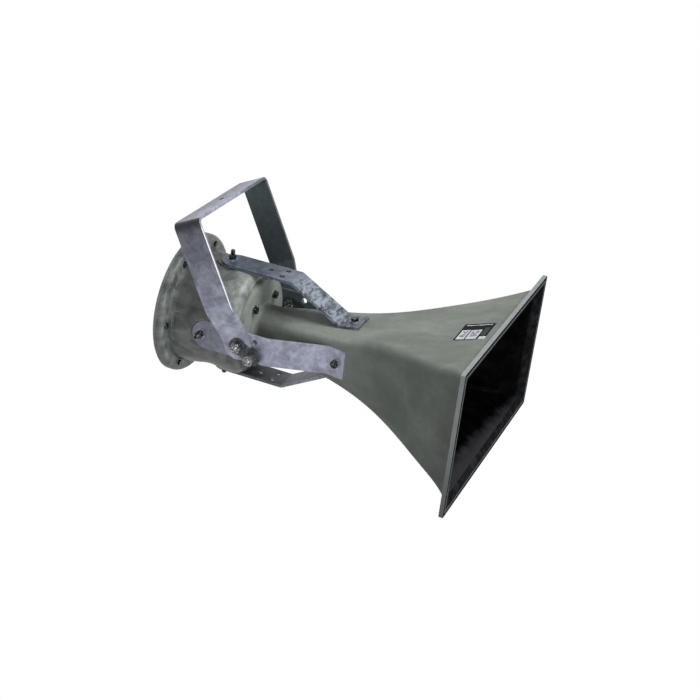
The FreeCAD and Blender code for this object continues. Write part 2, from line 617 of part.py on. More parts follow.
def pivot_parts():
    """Bolts through the side struts with fender washers and nuts: a pivot and a lock on each side."""
    parts = {name: [] for name in ("pivot_bolts", "pivot_washers", "pivot_nuts",
                                   "lock_bolts", "lock_washers", "lock_nuts")}
    for side in (-1, 1):
        outward = Vector(0, side, 0)
        spots = (("pivot", Vector(0, 0, 0), PIVOT_STAND, 1),
                 ("lock", Vector(PAIR_AHEAD, 0, -PAIR_HALF_SPACING), LOCK_STAND, 2))
        for name, spot, stand, nut_count in spots:
            seat = spot + outward * STRUT_SEAT
            grip = FENDER_SEAT + FENDER_THICKNESS + stand - STRUT_SEAT
            parts[name + "_bolts"].append(
                hex_bolt(PIVOT_ACROSS_FLATS, PIVOT_HEAD, PIVOT_RADIUS, grip, seat, outward * -1))
            base = spot + outward * FENDER_SEAT
            parts[name + "_washers"].append(
                washer(FENDER_RADIUS, PIVOT_RADIUS + HOLE_CLEARANCE, FENDER_THICKNESS, base, outward))
            for k in range(nut_count):
                lift = outward * (FENDER_THICKNESS + k * PIVOT_NUT)
                parts[name + "_nuts"].append(
                    nut(PIVOT_ACROSS_FLATS, PIVOT_RADIUS, PIVOT_NUT, base + lift, outward))
    return parts


def make_driver_gasket():
    ring = tube_x(DRIVER_FRONT, HOUSING_INNER_FRONT, PLATE_RADIUS - 6, THROAT_RADIUS + 1)
    return drill(ring, throat_bolt_ring(HOUSING_INNER_FRONT), THROAT_BOLT_RADIUS + HOLE_CLEARANCE, BACKWARD)


def make_driver_front_plate():
    plate = tube_x(FRONT_PLATE_BACK, DRIVER_FRONT, PLATE_RADIUS, SNOUT_RADIUS + PLUG_FIT)
    return drill(plate, throat_bolt_ring(DRIVER_FRONT), THROAT_BOLT_RADIUS + THREAD_CLEARANCE, BACKWARD)


def make_driver_pole():
    """Pole piece with the conical sound way through it and a recess for the phase plug."""
    recess_floor = POLE_BACK + PLUG_RECESS_DEPTH
    return revolved(lines([
        (DRIVER_FRONT, THROAT_RADIUS), (DRIVER_FRONT, SNOUT_RADIUS), (FRONT_PLATE_BACK, SNOUT_RADIUS),
        (FRONT_PLATE_BACK, POLE_RADIUS), (POLE_BACK, POLE_RADIUS), (POLE_BACK, PLUG_RECESS_RADIUS),
        (recess_floor, PLUG_RECESS_RADIUS), (recess_floor, POLE_EXIT_SMALL),
        (DRIVER_FRONT, THROAT_RADIUS)]))


def make_driver_magnet():
    return tube_x(MAGNET_BACK, FRONT_PLATE_BACK, MAGNET_RADIUS, MAGNET_BORE)


def make_driver_rear_plate():
    """Pole plate with a raised seat for the diaphragm's edge."""
    plate = tube_x(REAR_PLATE_BACK, MAGNET_BACK, PLATE_RADIUS, POLE_RADIUS + GAP_WIDTH)
    recess = tube_x(REAR_PLATE_BACK - 1, REAR_PLATE_BACK + DIAPHRAGM_LIFT, SURROUND_ROLL_RADIUS)
    plate = plate.cut(recess)
    return drill(plate, cap_screw_ring(REAR_PLATE_BACK), CAP_SCREW_RADIUS + THREAD_CLEARANCE, X_AXIS,
                 REAR_PLATE_THICKNESS - END_CLEARANCE)


def dome_arc(base_x, base_radius, rise):
    """Arc in the XZ plane from a rim to the axis, bulging backwards."""
    ball = (base_radius ** 2 + rise ** 2) / (2 * rise)
    centre_x = base_x - rise + ball
    half = math.asin(base_radius / ball) / 2
    middle = Vector(centre_x - ball * math.cos(half), 0, ball * math.sin(half))
    return Part.Arc(Vector(base_x, 0, base_radius), middle, Vector(base_x - rise, 0, 0)).toShape()


def make_phase_plug():
    """Domed plug with radial slots that carry the sound from the diaphragm to the throat."""
    radius = PLUG_RECESS_RADIUS - PLUG_FIT
    floor = POLE_BACK + PLUG_RECESS_DEPTH
    profile = [dome_arc(POLE_BACK, radius, PLUG_DOME)]
    profile += lines([(POLE_BACK - PLUG_DOME, 0), (floor, 0), (floor, radius), (POLE_BACK, radius)])
    plug = revolved(profile)
    for k in range(PLUG_SLOTS):
        slot = Part.makeBox(PLUG_RECESS_DEPTH + PLUG_DOME + 2, PLUG_SLOT_END - PLUG_SLOT_START,
                            PLUG_SLOT_WIDTH,
                            Vector(POLE_BACK - PLUG_DOME - 1, PLUG_SLOT_START, -PLUG_SLOT_WIDTH / 2))
        slot.rotate(ORIGIN, X_AXIS, 360.0 * k / PLUG_SLOTS)
        plug = plug.cut(slot)
    return plug


def make_diaphragm():
    """Thin dome with a flat edge, made in one pressing."""
    inner = dome_arc(DIAPHRAGM_FRONT, COIL_INNER, DIAPHRAGM_DOME)
    outer = dome_arc(DIAPHRAGM_BACK, COIL_OUTER, DIAPHRAGM_DOME)
    profile = [inner]
    profile += lines([(DIAPHRAGM_FRONT - DIAPHRAGM_DOME, 0), (DIAPHRAGM_BACK - DIAPHRAGM_DOME, 0)])
    profile.append(outer)
    profile += lines([(DIAPHRAGM_BACK, COIL_OUTER), (DIAPHRAGM_BACK, DIAPHRAGM_RADIUS),
                      (DIAPHRAGM_FRONT, DIAPHRAGM_RADIUS), (DIAPHRAGM_FRONT, COIL_INNER)])
    return revolved(Part.sortEdges(profile)[0])


def make_voice_coil():
    return tube_x(DIAPHRAGM_FRONT, DIAPHRAGM_FRONT + COIL_LENGTH, COIL_OUTER, COIL_INNER)


def make_diaphragm_surround():
    """Flat outer edge clamped on the plate, with a raised fold that stops short of the dome's edge."""
    slope = SURROUND_ROLL_WIDTH / 4
    crest = DIAPHRAGM_BACK - SURROUND_ROLL_HEIGHT
    inner_foot = SURROUND_START + DIAPHRAGM_THICKNESS
    outer_foot = SURROUND_ROLL_RADIUS - DIAPHRAGM_THICKNESS
    return revolved(lines([
        (DIAPHRAGM_BACK, SURROUND_START), (crest, SURROUND_START + slope),
        (crest, SURROUND_ROLL_RADIUS - slope),
        (DIAPHRAGM_BACK, SURROUND_ROLL_RADIUS), (DIAPHRAGM_BACK, CLAMP_RING_RADIUS - 2),
        (DIAPHRAGM_FRONT, CLAMP_RING_RADIUS - 2), (DIAPHRAGM_FRONT, outer_foot),
        (crest + DIAPHRAGM_THICKNESS, outer_foot - slope), (crest + DIAPHRAGM_THICKNESS, inner_foot + slope),
        (DIAPHRAGM_BACK, inner_foot), (DIAPHRAGM_BACK, SURROUND_START)]))


def make_clamp_ring():
    return tube_x(DIAPHRAGM_BACK - CLAMP_RING_THICKNESS, DIAPHRAGM_BACK, CLAMP_RING_RADIUS, CLAMP_RING_BORE)


def make_driver_cap():
    """Closed back of the driver, a cup with a screwed edge."""
    edge_back = REAR_PLATE_BACK - CAP_FLANGE_THICKNESS
    cap = revolved(lines([
        (REAR_PLATE_BACK, CAP_INNER_RADIUS), (REAR_PLATE_BACK, PLATE_RADIUS), (edge_back, PLATE_RADIUS),
        (edge_back, CAP_OUTER_RADIUS), (CAP_BACK + CAP_WALL, CAP_OUTER_RADIUS), (CAP_BACK, CAP_INNER_RADIUS),
        (CAP_BACK, 0), (CAP_BACK + CAP_WALL, 0), (CAP_BACK + CAP_WALL, CAP_INNER_RADIUS),
        (REAR_PLATE_BACK, CAP_INNER_RADIUS)]))
    cap = drill(cap, cap_screw_ring(edge_back), CAP_SCREW_RADIUS + HOLE_CLEARANCE, X_AXIS)
    return drill(cap, post_places(), POST_RADIUS + THREAD_CLEARANCE, X_AXIS, 2 * CAP_WALL)


def make_damping_pad():
    pad_back = CAP_BACK + CAP_WALL
    return tube_x(pad_back, pad_back + DAMPING_THICKNESS, CAP_INNER_RADIUS - DAMPING_INSET)


def make_cap_screws():
    edge_back = REAR_PLATE_BACK - CAP_FLANGE_THICKNESS
    screws = []
    for place in cap_screw_ring(edge_back):
        shank = rod(CAP_SCREW_RADIUS, CAP_SCREW_GRIP, place, X_AXIS)
        head = rod(2 * CAP_SCREW_RADIUS, CAP_SCREW_HEAD, place, BACKWARD)
        screws.append(head.fuse(shank))
    return screws


def post_places():
    return [Vector(CAP_BACK, side * TERMINAL_SPREAD, 0) for side in (-1, 1)]


def make_driver_posts():
    return [rod(POST_RADIUS, CAP_WALL + POST_STAND, place + X_AXIS * CAP_WALL, BACKWARD)
            for place in post_places()]


def terminal_screw_places():
    depth = TERMINAL_SIZE[0]
    return [Vector(COVER_FRONT + depth, side * TERMINAL_SPREAD, TERMINAL_UP) for side in (-1, 1)]


def make_terminal_block():
    depth, width, height = TERMINAL_SIZE
    block = Part.makeBox(depth, width, height, Vector(COVER_FRONT, -width / 2, TERMINAL_UP - height / 2))
    return drill(block, terminal_screw_places(), TERMINAL_SCREW_RADIUS / 2 + THREAD_CLEARANCE, BACKWARD,
                 depth - END_CLEARANCE)


def make_terminal_screws():
    screws = []
    for place in terminal_screw_places():
        head = rod(TERMINAL_SCREW_RADIUS, TERMINAL_SCREW_HEAD, place, X_AXIS)
        shank = rod(TERMINAL_SCREW_RADIUS / 2, TERMINAL_SIZE[0] - 2 * END_CLEARANCE, place, BACKWARD)
        screws.append(head.fuse(shank))
    return screws


def make_driver_leads():
    """Two short leads from the driver's posts up to the terminal screws."""
    start_x = CAP_BACK - POST_STAND
    end_x = COVER_FRONT + TERMINAL_SIZE[0] + TERMINAL_SCREW_HEAD
    bend = (start_x - end_x) / 2
    middle_x = (start_x + end_x) / 2
    slant = bend * math.sqrt(0.5)
    leads = []
    for side in (-1, 1):
        y = side * TERMINAL_SPREAD
        start = Vector(start_x, y, 0)
        end = Vector(end_x, y, TERMINAL_UP)
        first = Part.Arc(start, Vector(start_x - slant, y, bend - slant), Vector(middle_x, y, bend))
        last = Part.Arc(Vector(middle_x, y, TERMINAL_UP - bend),
                        Vector(end_x + slant, y, TERMINAL_UP - bend + slant), end)
        riser = Part.makeLine(Vector(middle_x, y, bend), Vector(middle_x, y, TERMINAL_UP - bend))
        route = Part.Wire([first.toShape(), riser, last.toShape()])
        ring = Part.Wire(Part.makeCircle(LEAD_RADIUS, start, X_AXIS))
        leads.append(route.makePipeShell([ring], True, False))
    return leads


def gland_place(x):
    return Vector(x, 0, -GLAND_DOWN)


def make_gland_body():
    """Threaded tube through the cover with a hexagonal collar outside."""
    collar_back = COVER_DISH_BACK - GLAND_HEX_HEIGHT
    thread_end = COVER_FRONT + GLAND_NUT_HEIGHT + 1
    tube_end = collar_back - GLAND_CAP_HEIGHT / 2
    body = rod(GLAND_THREAD, thread_end - tube_end, gland_place(tube_end), X_AXIS)
    body = body.fuse(hexagon(GLAND_HEX, GLAND_HEX_HEIGHT, gland_place(COVER_DISH_BACK), BACKWARD))
    return body.cut(rod(GLAND_BORE, BIG, gland_place(-BIG / 2), X_AXIS))


def make_gland_locknut():
    return nut(GLAND_HEX, GLAND_THREAD, GLAND_NUT_HEIGHT, gland_place(COVER_FRONT), X_AXIS)


def make_gland_cap():
    """Domed nut that squeezes the seal."""
    start = COVER_DISH_BACK - GLAND_HEX_HEIGHT
    cap = rod(GLAND_HEX / 2, GLAND_CAP_HEIGHT, gland_place(start), BACKWARD)
    cap = cap.makeChamfer(GLAND_CAP_BEVEL, flat_edges(cap, start - GLAND_CAP_HEIGHT, 0, BIG))
    cap = drill(cap, [gland_place(start)], GLAND_THREAD + THREAD_CLEARANCE, BACKWARD, GLAND_CAP_HEIGHT / 2)
    return drill(cap, [gland_place(start)], GLAND_BORE + 2, BACKWARD)


def make_gland_seal():
    start = COVER_DISH_BACK - GLAND_HEX_HEIGHT - GLAND_CAP_HEIGHT / 2
    seal_length = GLAND_CAP_HEIGHT / 2 - 1
    outside = rod(GLAND_BORE + 2 - PLUG_FIT, seal_length, gland_place(start), BACKWARD)
    return outside.cut(rod(GLAND_BORE - 1, BIG, gland_place(-BIG / 2), X_AXIS))


def build():
    """Every sub-part by name, as a list of separate solids in the working axes."""
    outside = bell_outside()
    feet = {name: foot_line(outside, angle) for name, angle in STRUT_TURNS.items()}
    foot_bolts = [foot_bolt(feet[name], angle) for name, angle in STRUT_TURNS.items()]
    parts = {"horn_bell": [make_horn_bell(outside, foot_bolts)]}
    for name, angle in STRUT_TURNS.items():
        parts["strut_" + name] = [make_strut(feet[name], angle)]
    studs, stud_washers, stud_nuts = strut_stud_parts()
    bolts, bolt_washers = foot_bolt_parts(foot_bolts)
    parts["strut_rear_studs"] = studs
    parts["strut_rear_washers"] = stud_washers
    parts["strut_rear_nuts"] = stud_nuts
    parts["strut_front_bolts"] = bolts
    parts["strut_front_washers"] = bolt_washers
    parts["mounting_yoke"] = [make_mounting_yoke()]
    parts.update(pivot_parts())
    parts["throat_gasket"] = [make_throat_gasket()]
    parts["throat_bolts"] = make_throat_bolts()
    parts["throat_washers"] = make_throat_washers()
    parts["driver_housing"] = [make_driver_housing()]
    parts["rear_cover"] = [make_rear_cover()]
    parts["cover_gasket"] = [make_cover_gasket()]
    parts["cover_screws"] = make_cover_screws()
    parts["driver_gasket"] = [make_driver_gasket()]
    parts["driver_front_plate"] = [make_driver_front_plate()]
    parts["driver_pole_piece"] = [make_driver_pole()]
    parts["driver_magnet"] = [make_driver_magnet()]
    parts["driver_rear_plate"] = [make_driver_rear_plate()]
    parts["phase_plug"] = [make_phase_plug()]
    parts["diaphragm"] = [make_diaphragm()]
    parts["voice_coil"] = [make_voice_coil()]
    parts["diaphragm_surround"] = [make_diaphragm_surround()]
    parts["diaphragm_clamp_ring"] = [make_clamp_ring()]
    parts["driver_cap"] = [make_driver_cap()]
    parts["driver_cap_screws"] = make_cap_screws()
    parts["damping_pad"] = [make_damping_pad()]
    parts["driver_posts"] = make_driver_posts()
    parts["terminal_block"] = [make_terminal_block()]
    parts["terminal_screws"] = make_terminal_screws()
    parts["driver_leads"] = make_driver_leads()
    parts["gland_body"] = [make_gland_body()]
    parts["gland_locknut"] = [make_gland_locknut()]
    parts["gland_cap"] = [make_gland_cap()]
    parts["gland_seal"] = [make_gland_seal()]
    return parts


def main():
    lean = math.radians(YOKE_LEAN)
    mount_hole = Vector(-YOKE_HEIGHT * math.sin(lean), 0, YOKE_HEIGHT * math.cos(lean))
    os.makedirs("parts", exist_ok=True)
    for name, solids in build().items():
        shape = solids[0] if len(solids) == 1 else Part.makeCompound(solids)
        shape.translate(mount_hole * -1)
        shape.exportStep(os.path.join("parts", name + ".step"))
    print("pivot axis at", mount_hole * -1)


main()
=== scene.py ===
# %% [markdown]
# # A public address horn speaker
#
# The solids of this speaker come from a CAD model, which is loaded here as a fixed frame.
# This lesson gives them paint, zinc and rubber, and adds what is easier to make in Blender
# than in CAD: screw threads, chamfered nuts and a blank label. All lengths are in metres,
# and every piece stays in the place that the CAD model gives it.

import json
import math

import bmesh
import bpy
import numpy as np
from mathutils import Matrix, Vector
from mathutils.bvhtree import BVHTree


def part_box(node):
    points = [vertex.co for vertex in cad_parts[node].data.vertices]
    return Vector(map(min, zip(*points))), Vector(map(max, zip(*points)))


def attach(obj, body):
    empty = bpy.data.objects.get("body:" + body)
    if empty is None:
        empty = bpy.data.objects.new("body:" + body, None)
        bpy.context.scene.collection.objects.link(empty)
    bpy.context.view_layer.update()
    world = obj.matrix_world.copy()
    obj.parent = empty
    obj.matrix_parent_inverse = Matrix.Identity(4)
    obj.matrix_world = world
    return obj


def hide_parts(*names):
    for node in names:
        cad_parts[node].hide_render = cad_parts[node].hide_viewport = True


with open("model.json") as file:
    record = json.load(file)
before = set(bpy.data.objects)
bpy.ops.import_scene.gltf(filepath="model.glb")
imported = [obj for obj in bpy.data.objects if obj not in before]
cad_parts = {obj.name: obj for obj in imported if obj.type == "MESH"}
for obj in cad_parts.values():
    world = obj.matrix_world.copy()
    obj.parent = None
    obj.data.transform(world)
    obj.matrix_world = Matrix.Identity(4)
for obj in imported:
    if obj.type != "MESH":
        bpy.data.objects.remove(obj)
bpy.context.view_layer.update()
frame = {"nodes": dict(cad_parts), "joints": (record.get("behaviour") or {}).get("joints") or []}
nodes = frame["nodes"]
print("pieces in the frame:", len(nodes))

# %% [markdown]
# ## Where the horn lies
#
# The horn points along X. The tilt joint gives one point of its axis, so the patterns that
# need to know "how far from the axis" measure from there.

# %% Find the horn's axis and mouth
tilt = next(joint for joint in frame["joints"] if joint["name"] == "tilt")
pivot = Vector(tilt["pos_m"])
bell_low, bell_high = (Vector(corner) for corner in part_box("horn_bell"))
mouth_x = bell_high.x
mouth_half = (bell_high - bell_low) / 2
print("pivot", tuple(round(value, 4) for value in pivot), "mouth at x =", round(mouth_x, 4))

# %% [markdown]
# ## The camera
#
# The photograph looks down on the horn from the front left, from about two and a half
# metres away with a longish lens, and it is rolled a few degrees. A track quaternion aims
# the camera at a point, and a turn about its own Z axis afterwards adds the roll.

# %% Place the camera
CAMERA_AT = Vector((1.005523, -2.026311, 0.885337))
CAMERA_AIM = Vector((0.264551, 0, -0.210308))
CAMERA_ROLL = math.radians(6.876)
CAMERA_LENS = 72.746
camera_data = bpy.data.cameras.new("camera")
camera_data.lens = CAMERA_LENS
camera = bpy.data.objects.new("camera", camera_data)
bpy.context.collection.objects.link(camera)
aim_turn = (CAMERA_AIM - CAMERA_AT).to_track_quat("-Z", "Y").to_matrix().to_4x4()
camera.matrix_world = Matrix.Translation(CAMERA_AT) @ aim_turn @ Matrix.Rotation(CAMERA_ROLL, 4, "Z")
bpy.context.scene.camera = camera
bpy.context.scene.view_settings.view_transform = "Standard"
print("camera distance", round((CAMERA_AIM - CAMERA_AT).length, 3))

# %% [markdown]
# ## Shader maths as Python
#
# A material is a graph of nodes. Wiring each node by hand is slow to write and hard to
# read, so `Wire` wraps a socket and lets plain signs such as `1 - mask` add Math nodes.
# `Graph.add` makes any other node, and `Finish` is the graph of one material.

# %% Wrap a socket
class Wire:
    """One output socket of a graph, which plain maths signs work on."""

    def __init__(self, graph, socket):
        self.graph = graph
        self.socket = socket

    def _math(self, operation, first, second):
        return self.graph.add("ShaderNodeMath", {"operation": operation}, {0: first, 1: second})

    def __add__(self, other):
        return self._math("ADD", self, other)

    def __radd__(self, other):
        return self._math("ADD", other, self)

    def __sub__(self, other):
        return self._math("SUBTRACT", self, other)

    def __rsub__(self, other):
        return self._math("SUBTRACT", other, self)

    def __mul__(self, other):
        return self._math("MULTIPLY", self, other)

    def __rmul__(self, other):
        return self._math("MULTIPLY", other, self)

    def __gt__(self, other):
        return self._math("GREATER_THAN", self, other)

    def __lt__(self, other):
        return self._math("LESS_THAN", self, other)

    def __abs__(self):
        return self._math("ABSOLUTE", self, 0)


print("wires take the signs + - * > < and abs")


# %% Find a socket
def find_socket(sockets, name):
    """A socket by its number, or an enabled one by its name or identifier."""
    if isinstance(name, int):
        return sockets[name]
    enabled = (socket for socket in sockets if socket.enabled)
    return next(socket for socket in enabled if name in (socket.identifier, socket.name))


def spaced(values):
    """Keywords such as Base_Color as socket names such as Base Color."""
    return {name.replace("_", " "): value for name, value in values.items()}


print("the keyword Base_Color means the socket", *spaced({"Base_Color": 0}))


# %% Hold the nodes of one material
class Graph:
    """The nodes of a material or of the world."""

    def __init__(self, owner):
        owner.use_nodes = True
        self.tree = owner.node_tree

    def add(self, kind, settings=None, values=None, out=0):
        """Adds a node: its settings first, then the values or wires of its sockets."""
        node = self.tree.nodes.new(kind)
        for name, setting in (settings or {}).items():
            setattr(node, name, setting)
        self.set(node, values or {})
        return Wire(self, find_socket(node.outputs, out))

    def set(self, node, values):
        """Gives a node's sockets their values or wires."""
        for name, value in values.items():
            socket = find_socket(node.inputs, name)
            if isinstance(value, Wire):
                self.tree.links.new(value.socket, socket)
            else:
                socket.default_value = value

    def show(self, shader, output="Material Output"):
        """Makes this shader the one that is seen."""
        self.set(self.tree.nodes[output], {"Surface": shader})


class Finish(Graph):
    """A material with one Principled shader, whose sockets are set by keyword."""

    def __init__(self, name, **constants):
        self.material = bpy.data.materials.new(name)
        super().__init__(self.material)
        self.shader = self.tree.nodes["Principled BSDF"]
        self.feed(**constants)

    def feed(self, **values):
        """Sets the shader's sockets."""
        self.set(self.shader, spaced(values))
        return self

    def cover(self, share, **values):
        """A second shader lies over the first where share is 1."""
        over = self.add("ShaderNodeBsdfPrincipled", None, spaced(values))
        under = Wire(self, self.shader.outputs[0])
        self.show(self.add("ShaderNodeMixShader", None, {0: share, 1: under, 2: over}))


print("a finish starts with one Principled shader")

# %% [markdown]
# ## Small tools for patterns
#
# Every pattern reads Object coordinates, which are metres here, so a size can be given as
# it would be measured on the real thing: grain of 1.2 mm, or blotches of 30 mm. Colours
# are written as they look on a screen and turned into linear light by `screen`.

# %% Colours
def screen(red, green, blue):
    """A colour as seen on a screen, 0 to 255, as linear light with full opacity."""
    parts = [value / 255 for value in (red, green, blue)]
    linear = [part / 12.92 if part <= 0.04045 else ((part + 0.055) / 1.055) ** 2.4 for part in parts]
    return (*linear, 1.0)


print("mid grey on a screen is", round(screen(128, 128, 128)[0], 3), "in linear light")


# %% Places and grains
def vector_math(finish, operation, *vectors, out="Vector"):
    """Vector Math on one or two vectors. Its result is a number where out is Value."""
    return finish.add("ShaderNodeVectorMath", {"operation": operation}, dict(enumerate(vectors)), out=out)


def place(finish, centre=(0, 0, 0), turn=(0, 0, 0), stretch=(1, 1, 1)):
    """Object coordinates, moved so that centre is the origin, then turned and stretched."""
    moved = vector_math(finish, "SUBTRACT", finish.add("ShaderNodeTexCoord", out="Object"), centre)
    return finish.add("ShaderNodeMapping", {"vector_type": "POINT"},
                      {"Vector": moved, "Rotation": turn, "Scale": stretch})


def grain(finish, size, detail=2.0, roughness=0.5, at=None, twist=0.0):
    """Noise with features of about that size, from 0 to 1."""
    values = {"Vector": at or place(finish), "Scale": 1 / size, "Detail": detail, "Roughness": roughness,
              "Distortion": twist}
    return finish.add("ShaderNodeTexNoise", {"noise_dimensions": "3D"}, values)


def split(finish, vector, part):
    """One part, X, Y or Z, of a vector."""
    return finish.add("ShaderNodeSeparateXYZ", None, {0: vector}, out=part)


print("grain of 1.2 mm has a noise scale of", round(1 / 0.0012))


# %% Steps, blends and shades
def rise(finish, value, low, high, start=0.0, end=1.0):
    """A smooth step from start to end as value goes from low to high."""
    return finish.add("ShaderNodeMapRange", {"interpolation_type": "SMOOTHSTEP"},
                      {"Value": value, "From Min": low, "From Max": high, "To Min": start, "To Max": end})


def blend(finish, first, second, share):
    """A colour that goes from first to second."""
    return finish.add("ShaderNodeMix", {"data_type": "RGBA"},
                      {"Factor_Float": share, "A_Color": first, "B_Color": second}, out="Result_Color")


def shade(finish, colour, share, low, high):
    """The colour times low where share is 0 and times high where it is 1."""
    level = share * (high - low) + low
    grey = finish.add("ShaderNodeCombineColor", {"mode": "RGB"}, {0: level, 1: level, 2: level})
    return finish.add("ShaderNodeMix", {"data_type": "RGBA", "blend_type": "MULTIPLY"},
                      {"Factor_Float": 1.0, "A_Color": colour, "B_Color": grey}, out="Result_Color")


print("a smooth step, a blend and a shade are ready")


# %% Relief, facing and edges
def relief(finish, height, depth, under=None):
    """A bump of that depth in metres."""
    values = {"Height": height, "Distance": depth, "Strength": 1.0}
    if under:
        values["Normal"] = under
    return finish.add("ShaderNodeBump", None, values)


def facing(finish, direction):
    """How far the surface faces a direction of the object, from -1 to 1."""
    normal = finish.add("ShaderNodeTexCoord", out="Normal")
    return vector_math(finish, "DOT_PRODUCT", normal, direction, out="Value")


def edges(finish, radius):
    """1 on sharp outer edges and in corners, fading to 0 over that radius."""
    soft = finish.add("ShaderNodeBevel", {"samples": 6}, {"Radius": radius})
    hard = finish.add("ShaderNodeNewGeometry", out="Normal")
    return rise(finish, vector_math(finish, "DOT_PRODUCT", soft, hard, out="Value"), 0.995, 0.86)


print("a bevel rounds the normal at edges, so comparing it with the true one finds them")

# %% [markdown]
# ## Bell paint
#
# The bell is a moulding with a semi-matt grey-green coat outside. Faint cloudy streaks run
# along it, as sprayed paint has. Painted shade darkens its top near the mouth and patches at
# the neck, and painted light makes its soft corner and the throat flange a little paler.

# %% Outer coat
FLANGE_FROM_MOUTH = bell_low.x - mouth_x
SOFT_CORNER = (0, -math.sqrt(0.5), math.sqrt(0.5))
print("the throat flange starts", round(-FLANGE_FROM_MOUTH * 1000), "mm behind the mouth")


def outer_coat(coat, along, clouds, specks):
    """The sprayed coat, with along as the distance in front of the mouth's plane."""
    streaks = grain(coat, 0.050, 3, 0.55, at=place(coat, stretch=(0.45, 1, 1)), twist=0.3)
    colour = blend(coat, screen(118, 123, 117), screen(136, 141, 135), rise(coat, streaks, 0.30, 0.70))
    colour = shade(coat, colour, rise(coat, clouds, 0.3, 0.7), 0.94, 1.05)
    colour = shade(coat, colour, rise(coat, specks, 0.3, 0.75), 0.94, 1.06)
    # Painted shade: the top is darker near the mouth.
    shaded_near_mouth = rise(coat, along, -0.22, -0.02) * rise(coat, facing(coat, (0, 0, 1)), 0.2, 0.7)
    colour = shade(coat, colour, shaded_near_mouth, 1.02, 0.90)
    # Painted highlight along the soft corner between the top and the near side.
    colour = shade(coat, colour, rise(coat, facing(coat, SOFT_CORNER), 0.90, 0.99), 1.0, 1.17)
    past_flange = along - FLANGE_FROM_MOUTH
    # Painted light makes the throat flange's front face paler.
    lit_flange_face = rise(coat, facing(coat, (1, 0, 0)), 0.7, 0.9) * rise(coat, past_flange, 0.016, 0.012)
    colour = shade(coat, colour, lit_flange_face, 1.0, 1.26)
    # Painted shade: dark streaky patches on the neck in front of the throat flange.
    neck = rise(coat, past_flange, 0.013, 0.020) * rise(coat, past_flange + clouds * 0.05, 0.130, 0.050)
    return shade(coat, colour, neck * rise(coat, streaks, 0.20, 0.55), 1.0, 0.58)


# %% [markdown]
# ## The rim
#
# The rim's outer edge is a paler grey that gets darker low down, and its corners are
# scuffed. Its front is black, with a painted highlight along its lip as a thin grey line.

# %% Edge and front of the rim
RIM_DEPTH = 0.0072
LIP_FROM_EDGE = 0.0080
print("the rim's lip lies", LIP_FROM_EDGE * 1000, "mm in from its edge")


def rim_edge(coat, colour, along, height, inside, clouds):
    """The outer colour with the rim's edge and scuffs on it."""
    grey = shade(coat, screen(142, 146, 147), rise(coat, height, -0.13, 0.06), 0.42, 1.06)
    on_edge = rise(coat, along + RIM_DEPTH, -0.0006, 0.0004) * (1 - inside)
    colour = blend(coat, colour, grey, on_edge * (0.25 + clouds * 0.9))
    scuffs = rise(coat, grain(coat, 0.004, 4, 0.65), 0.52, 0.70)
    return blend(coat, colour, screen(176, 179, 178), edges(coat, 0.0012) * scuffs * 0.5 * (1 - inside))


def rim_front(coat, offset, height, clouds):
    """Black with a painted highlight as a line at one distance from the rim's edge, all the way round."""
    margin = coat.add("ShaderNodeMath", {"operation": "MINIMUM"},
                      {0: mouth_half.y - abs(offset), 1: mouth_half.z - abs(height)})
    wobble = (grain(coat, 0.006, 2) - 0.5) * 0.0012
    # Painted highlight: a thin grey line along the lip.
    lip = rise(coat, abs(margin + wobble - LIP_FROM_EDGE), 0.0022, 0.0012)
    black = blend(coat, screen(18, 19, 21), screen(40, 42, 44), rise(coat, clouds, 0.4, 0.7))
    return blend(coat, black, screen(122, 126, 128), lip * 0.8)


# %% [markdown]
# ## The black inside
#
# The inside of the bell is glossy black, and light from the front lies as a grey sheen on
# its floor by the mouth. One CAD solid carries both coats, so the finish picks its side
# itself: the inner wall faces the horn's axis and the outer wall faces away from it. The
# black is a second shader over the first, because its gloss differs too.

# %% Lining
SHEEN_REACH = 0.036
print("the sheen reaches", SHEEN_REACH * 1000, "mm in from the mouth")


def lining(coat, along, offset, dust):
    """Black with dust, and a sheen on the floor that is wider on the near side."""
    sheen = rise(coat, along + dust * 0.008 - offset * 0.08, -SHEEN_REACH, -0.006)
    sheen = sheen * rise(coat, facing(coat, (0, 0, 1)), 0.3, 0.8)
    colour = blend(coat, screen(2, 2, 3), screen(8, 8, 10), dust)
    return blend(coat, colour, screen(46, 46, 48), sheen)


# %% Both coats on one bell
def bell_paint():
    """The outer coat, the rim and the lining in one material."""
    coat = Finish("bell_paint", Specular_IOR_Level=0.0, Coat_Weight=0.24, Coat_Roughness=0.36)
    from_axis = place(coat, centre=pivot, stretch=(0, 1, 1))
    inside = rise(coat, facing(coat, vector_math(coat, "NORMALIZE", from_axis)), -0.10, -0.22)
    along = split(coat, place(coat, centre=(mouth_x, 0, 0)), "X")
    offset, height = split(coat, from_axis, "Y"), split(coat, from_axis, "Z")
    clouds = grain(coat, 0.016, 4, 0.6)
    specks = grain(coat, 0.0012, 2, 0.6)
    dust = rise(coat, grain(coat, 0.020, 4, 0.6), 0.40, 0.75)

    outer = rim_edge(coat, outer_coat(coat, along, clouds, specks), along, height, inside, clouds)
    front = rise(coat, facing(coat, (1, 0, 0)), 0.5, 0.8) * rise(coat, along, -0.014, -0.010)
    inner = blend(coat, lining(coat, along, offset, dust), rim_front(coat, offset, height, clouds), front)
    peel = relief(coat, grain(coat, 0.0022, 2, 0.5), 0.00005)
    coat.feed(Base_Color=outer, Roughness=0.40 + clouds * 0.18, Normal=relief(coat, specks, 0.00003, peel))
    black = coat.add("ShaderNodeMath", {"operation": "MAXIMUM"}, {0: inside, 1: front})
    coat.cover(black, Base_Color=inner, Roughness=0.5, Normal=peel, Specular_IOR_Level=0.0,
               Coat_Weight=0.02 + dust * 0.03, Coat_Roughness=0.12)
    return coat


bell_coat = bell_paint()
print("the bell's paint has", len(bell_coat.tree.nodes), "nodes")
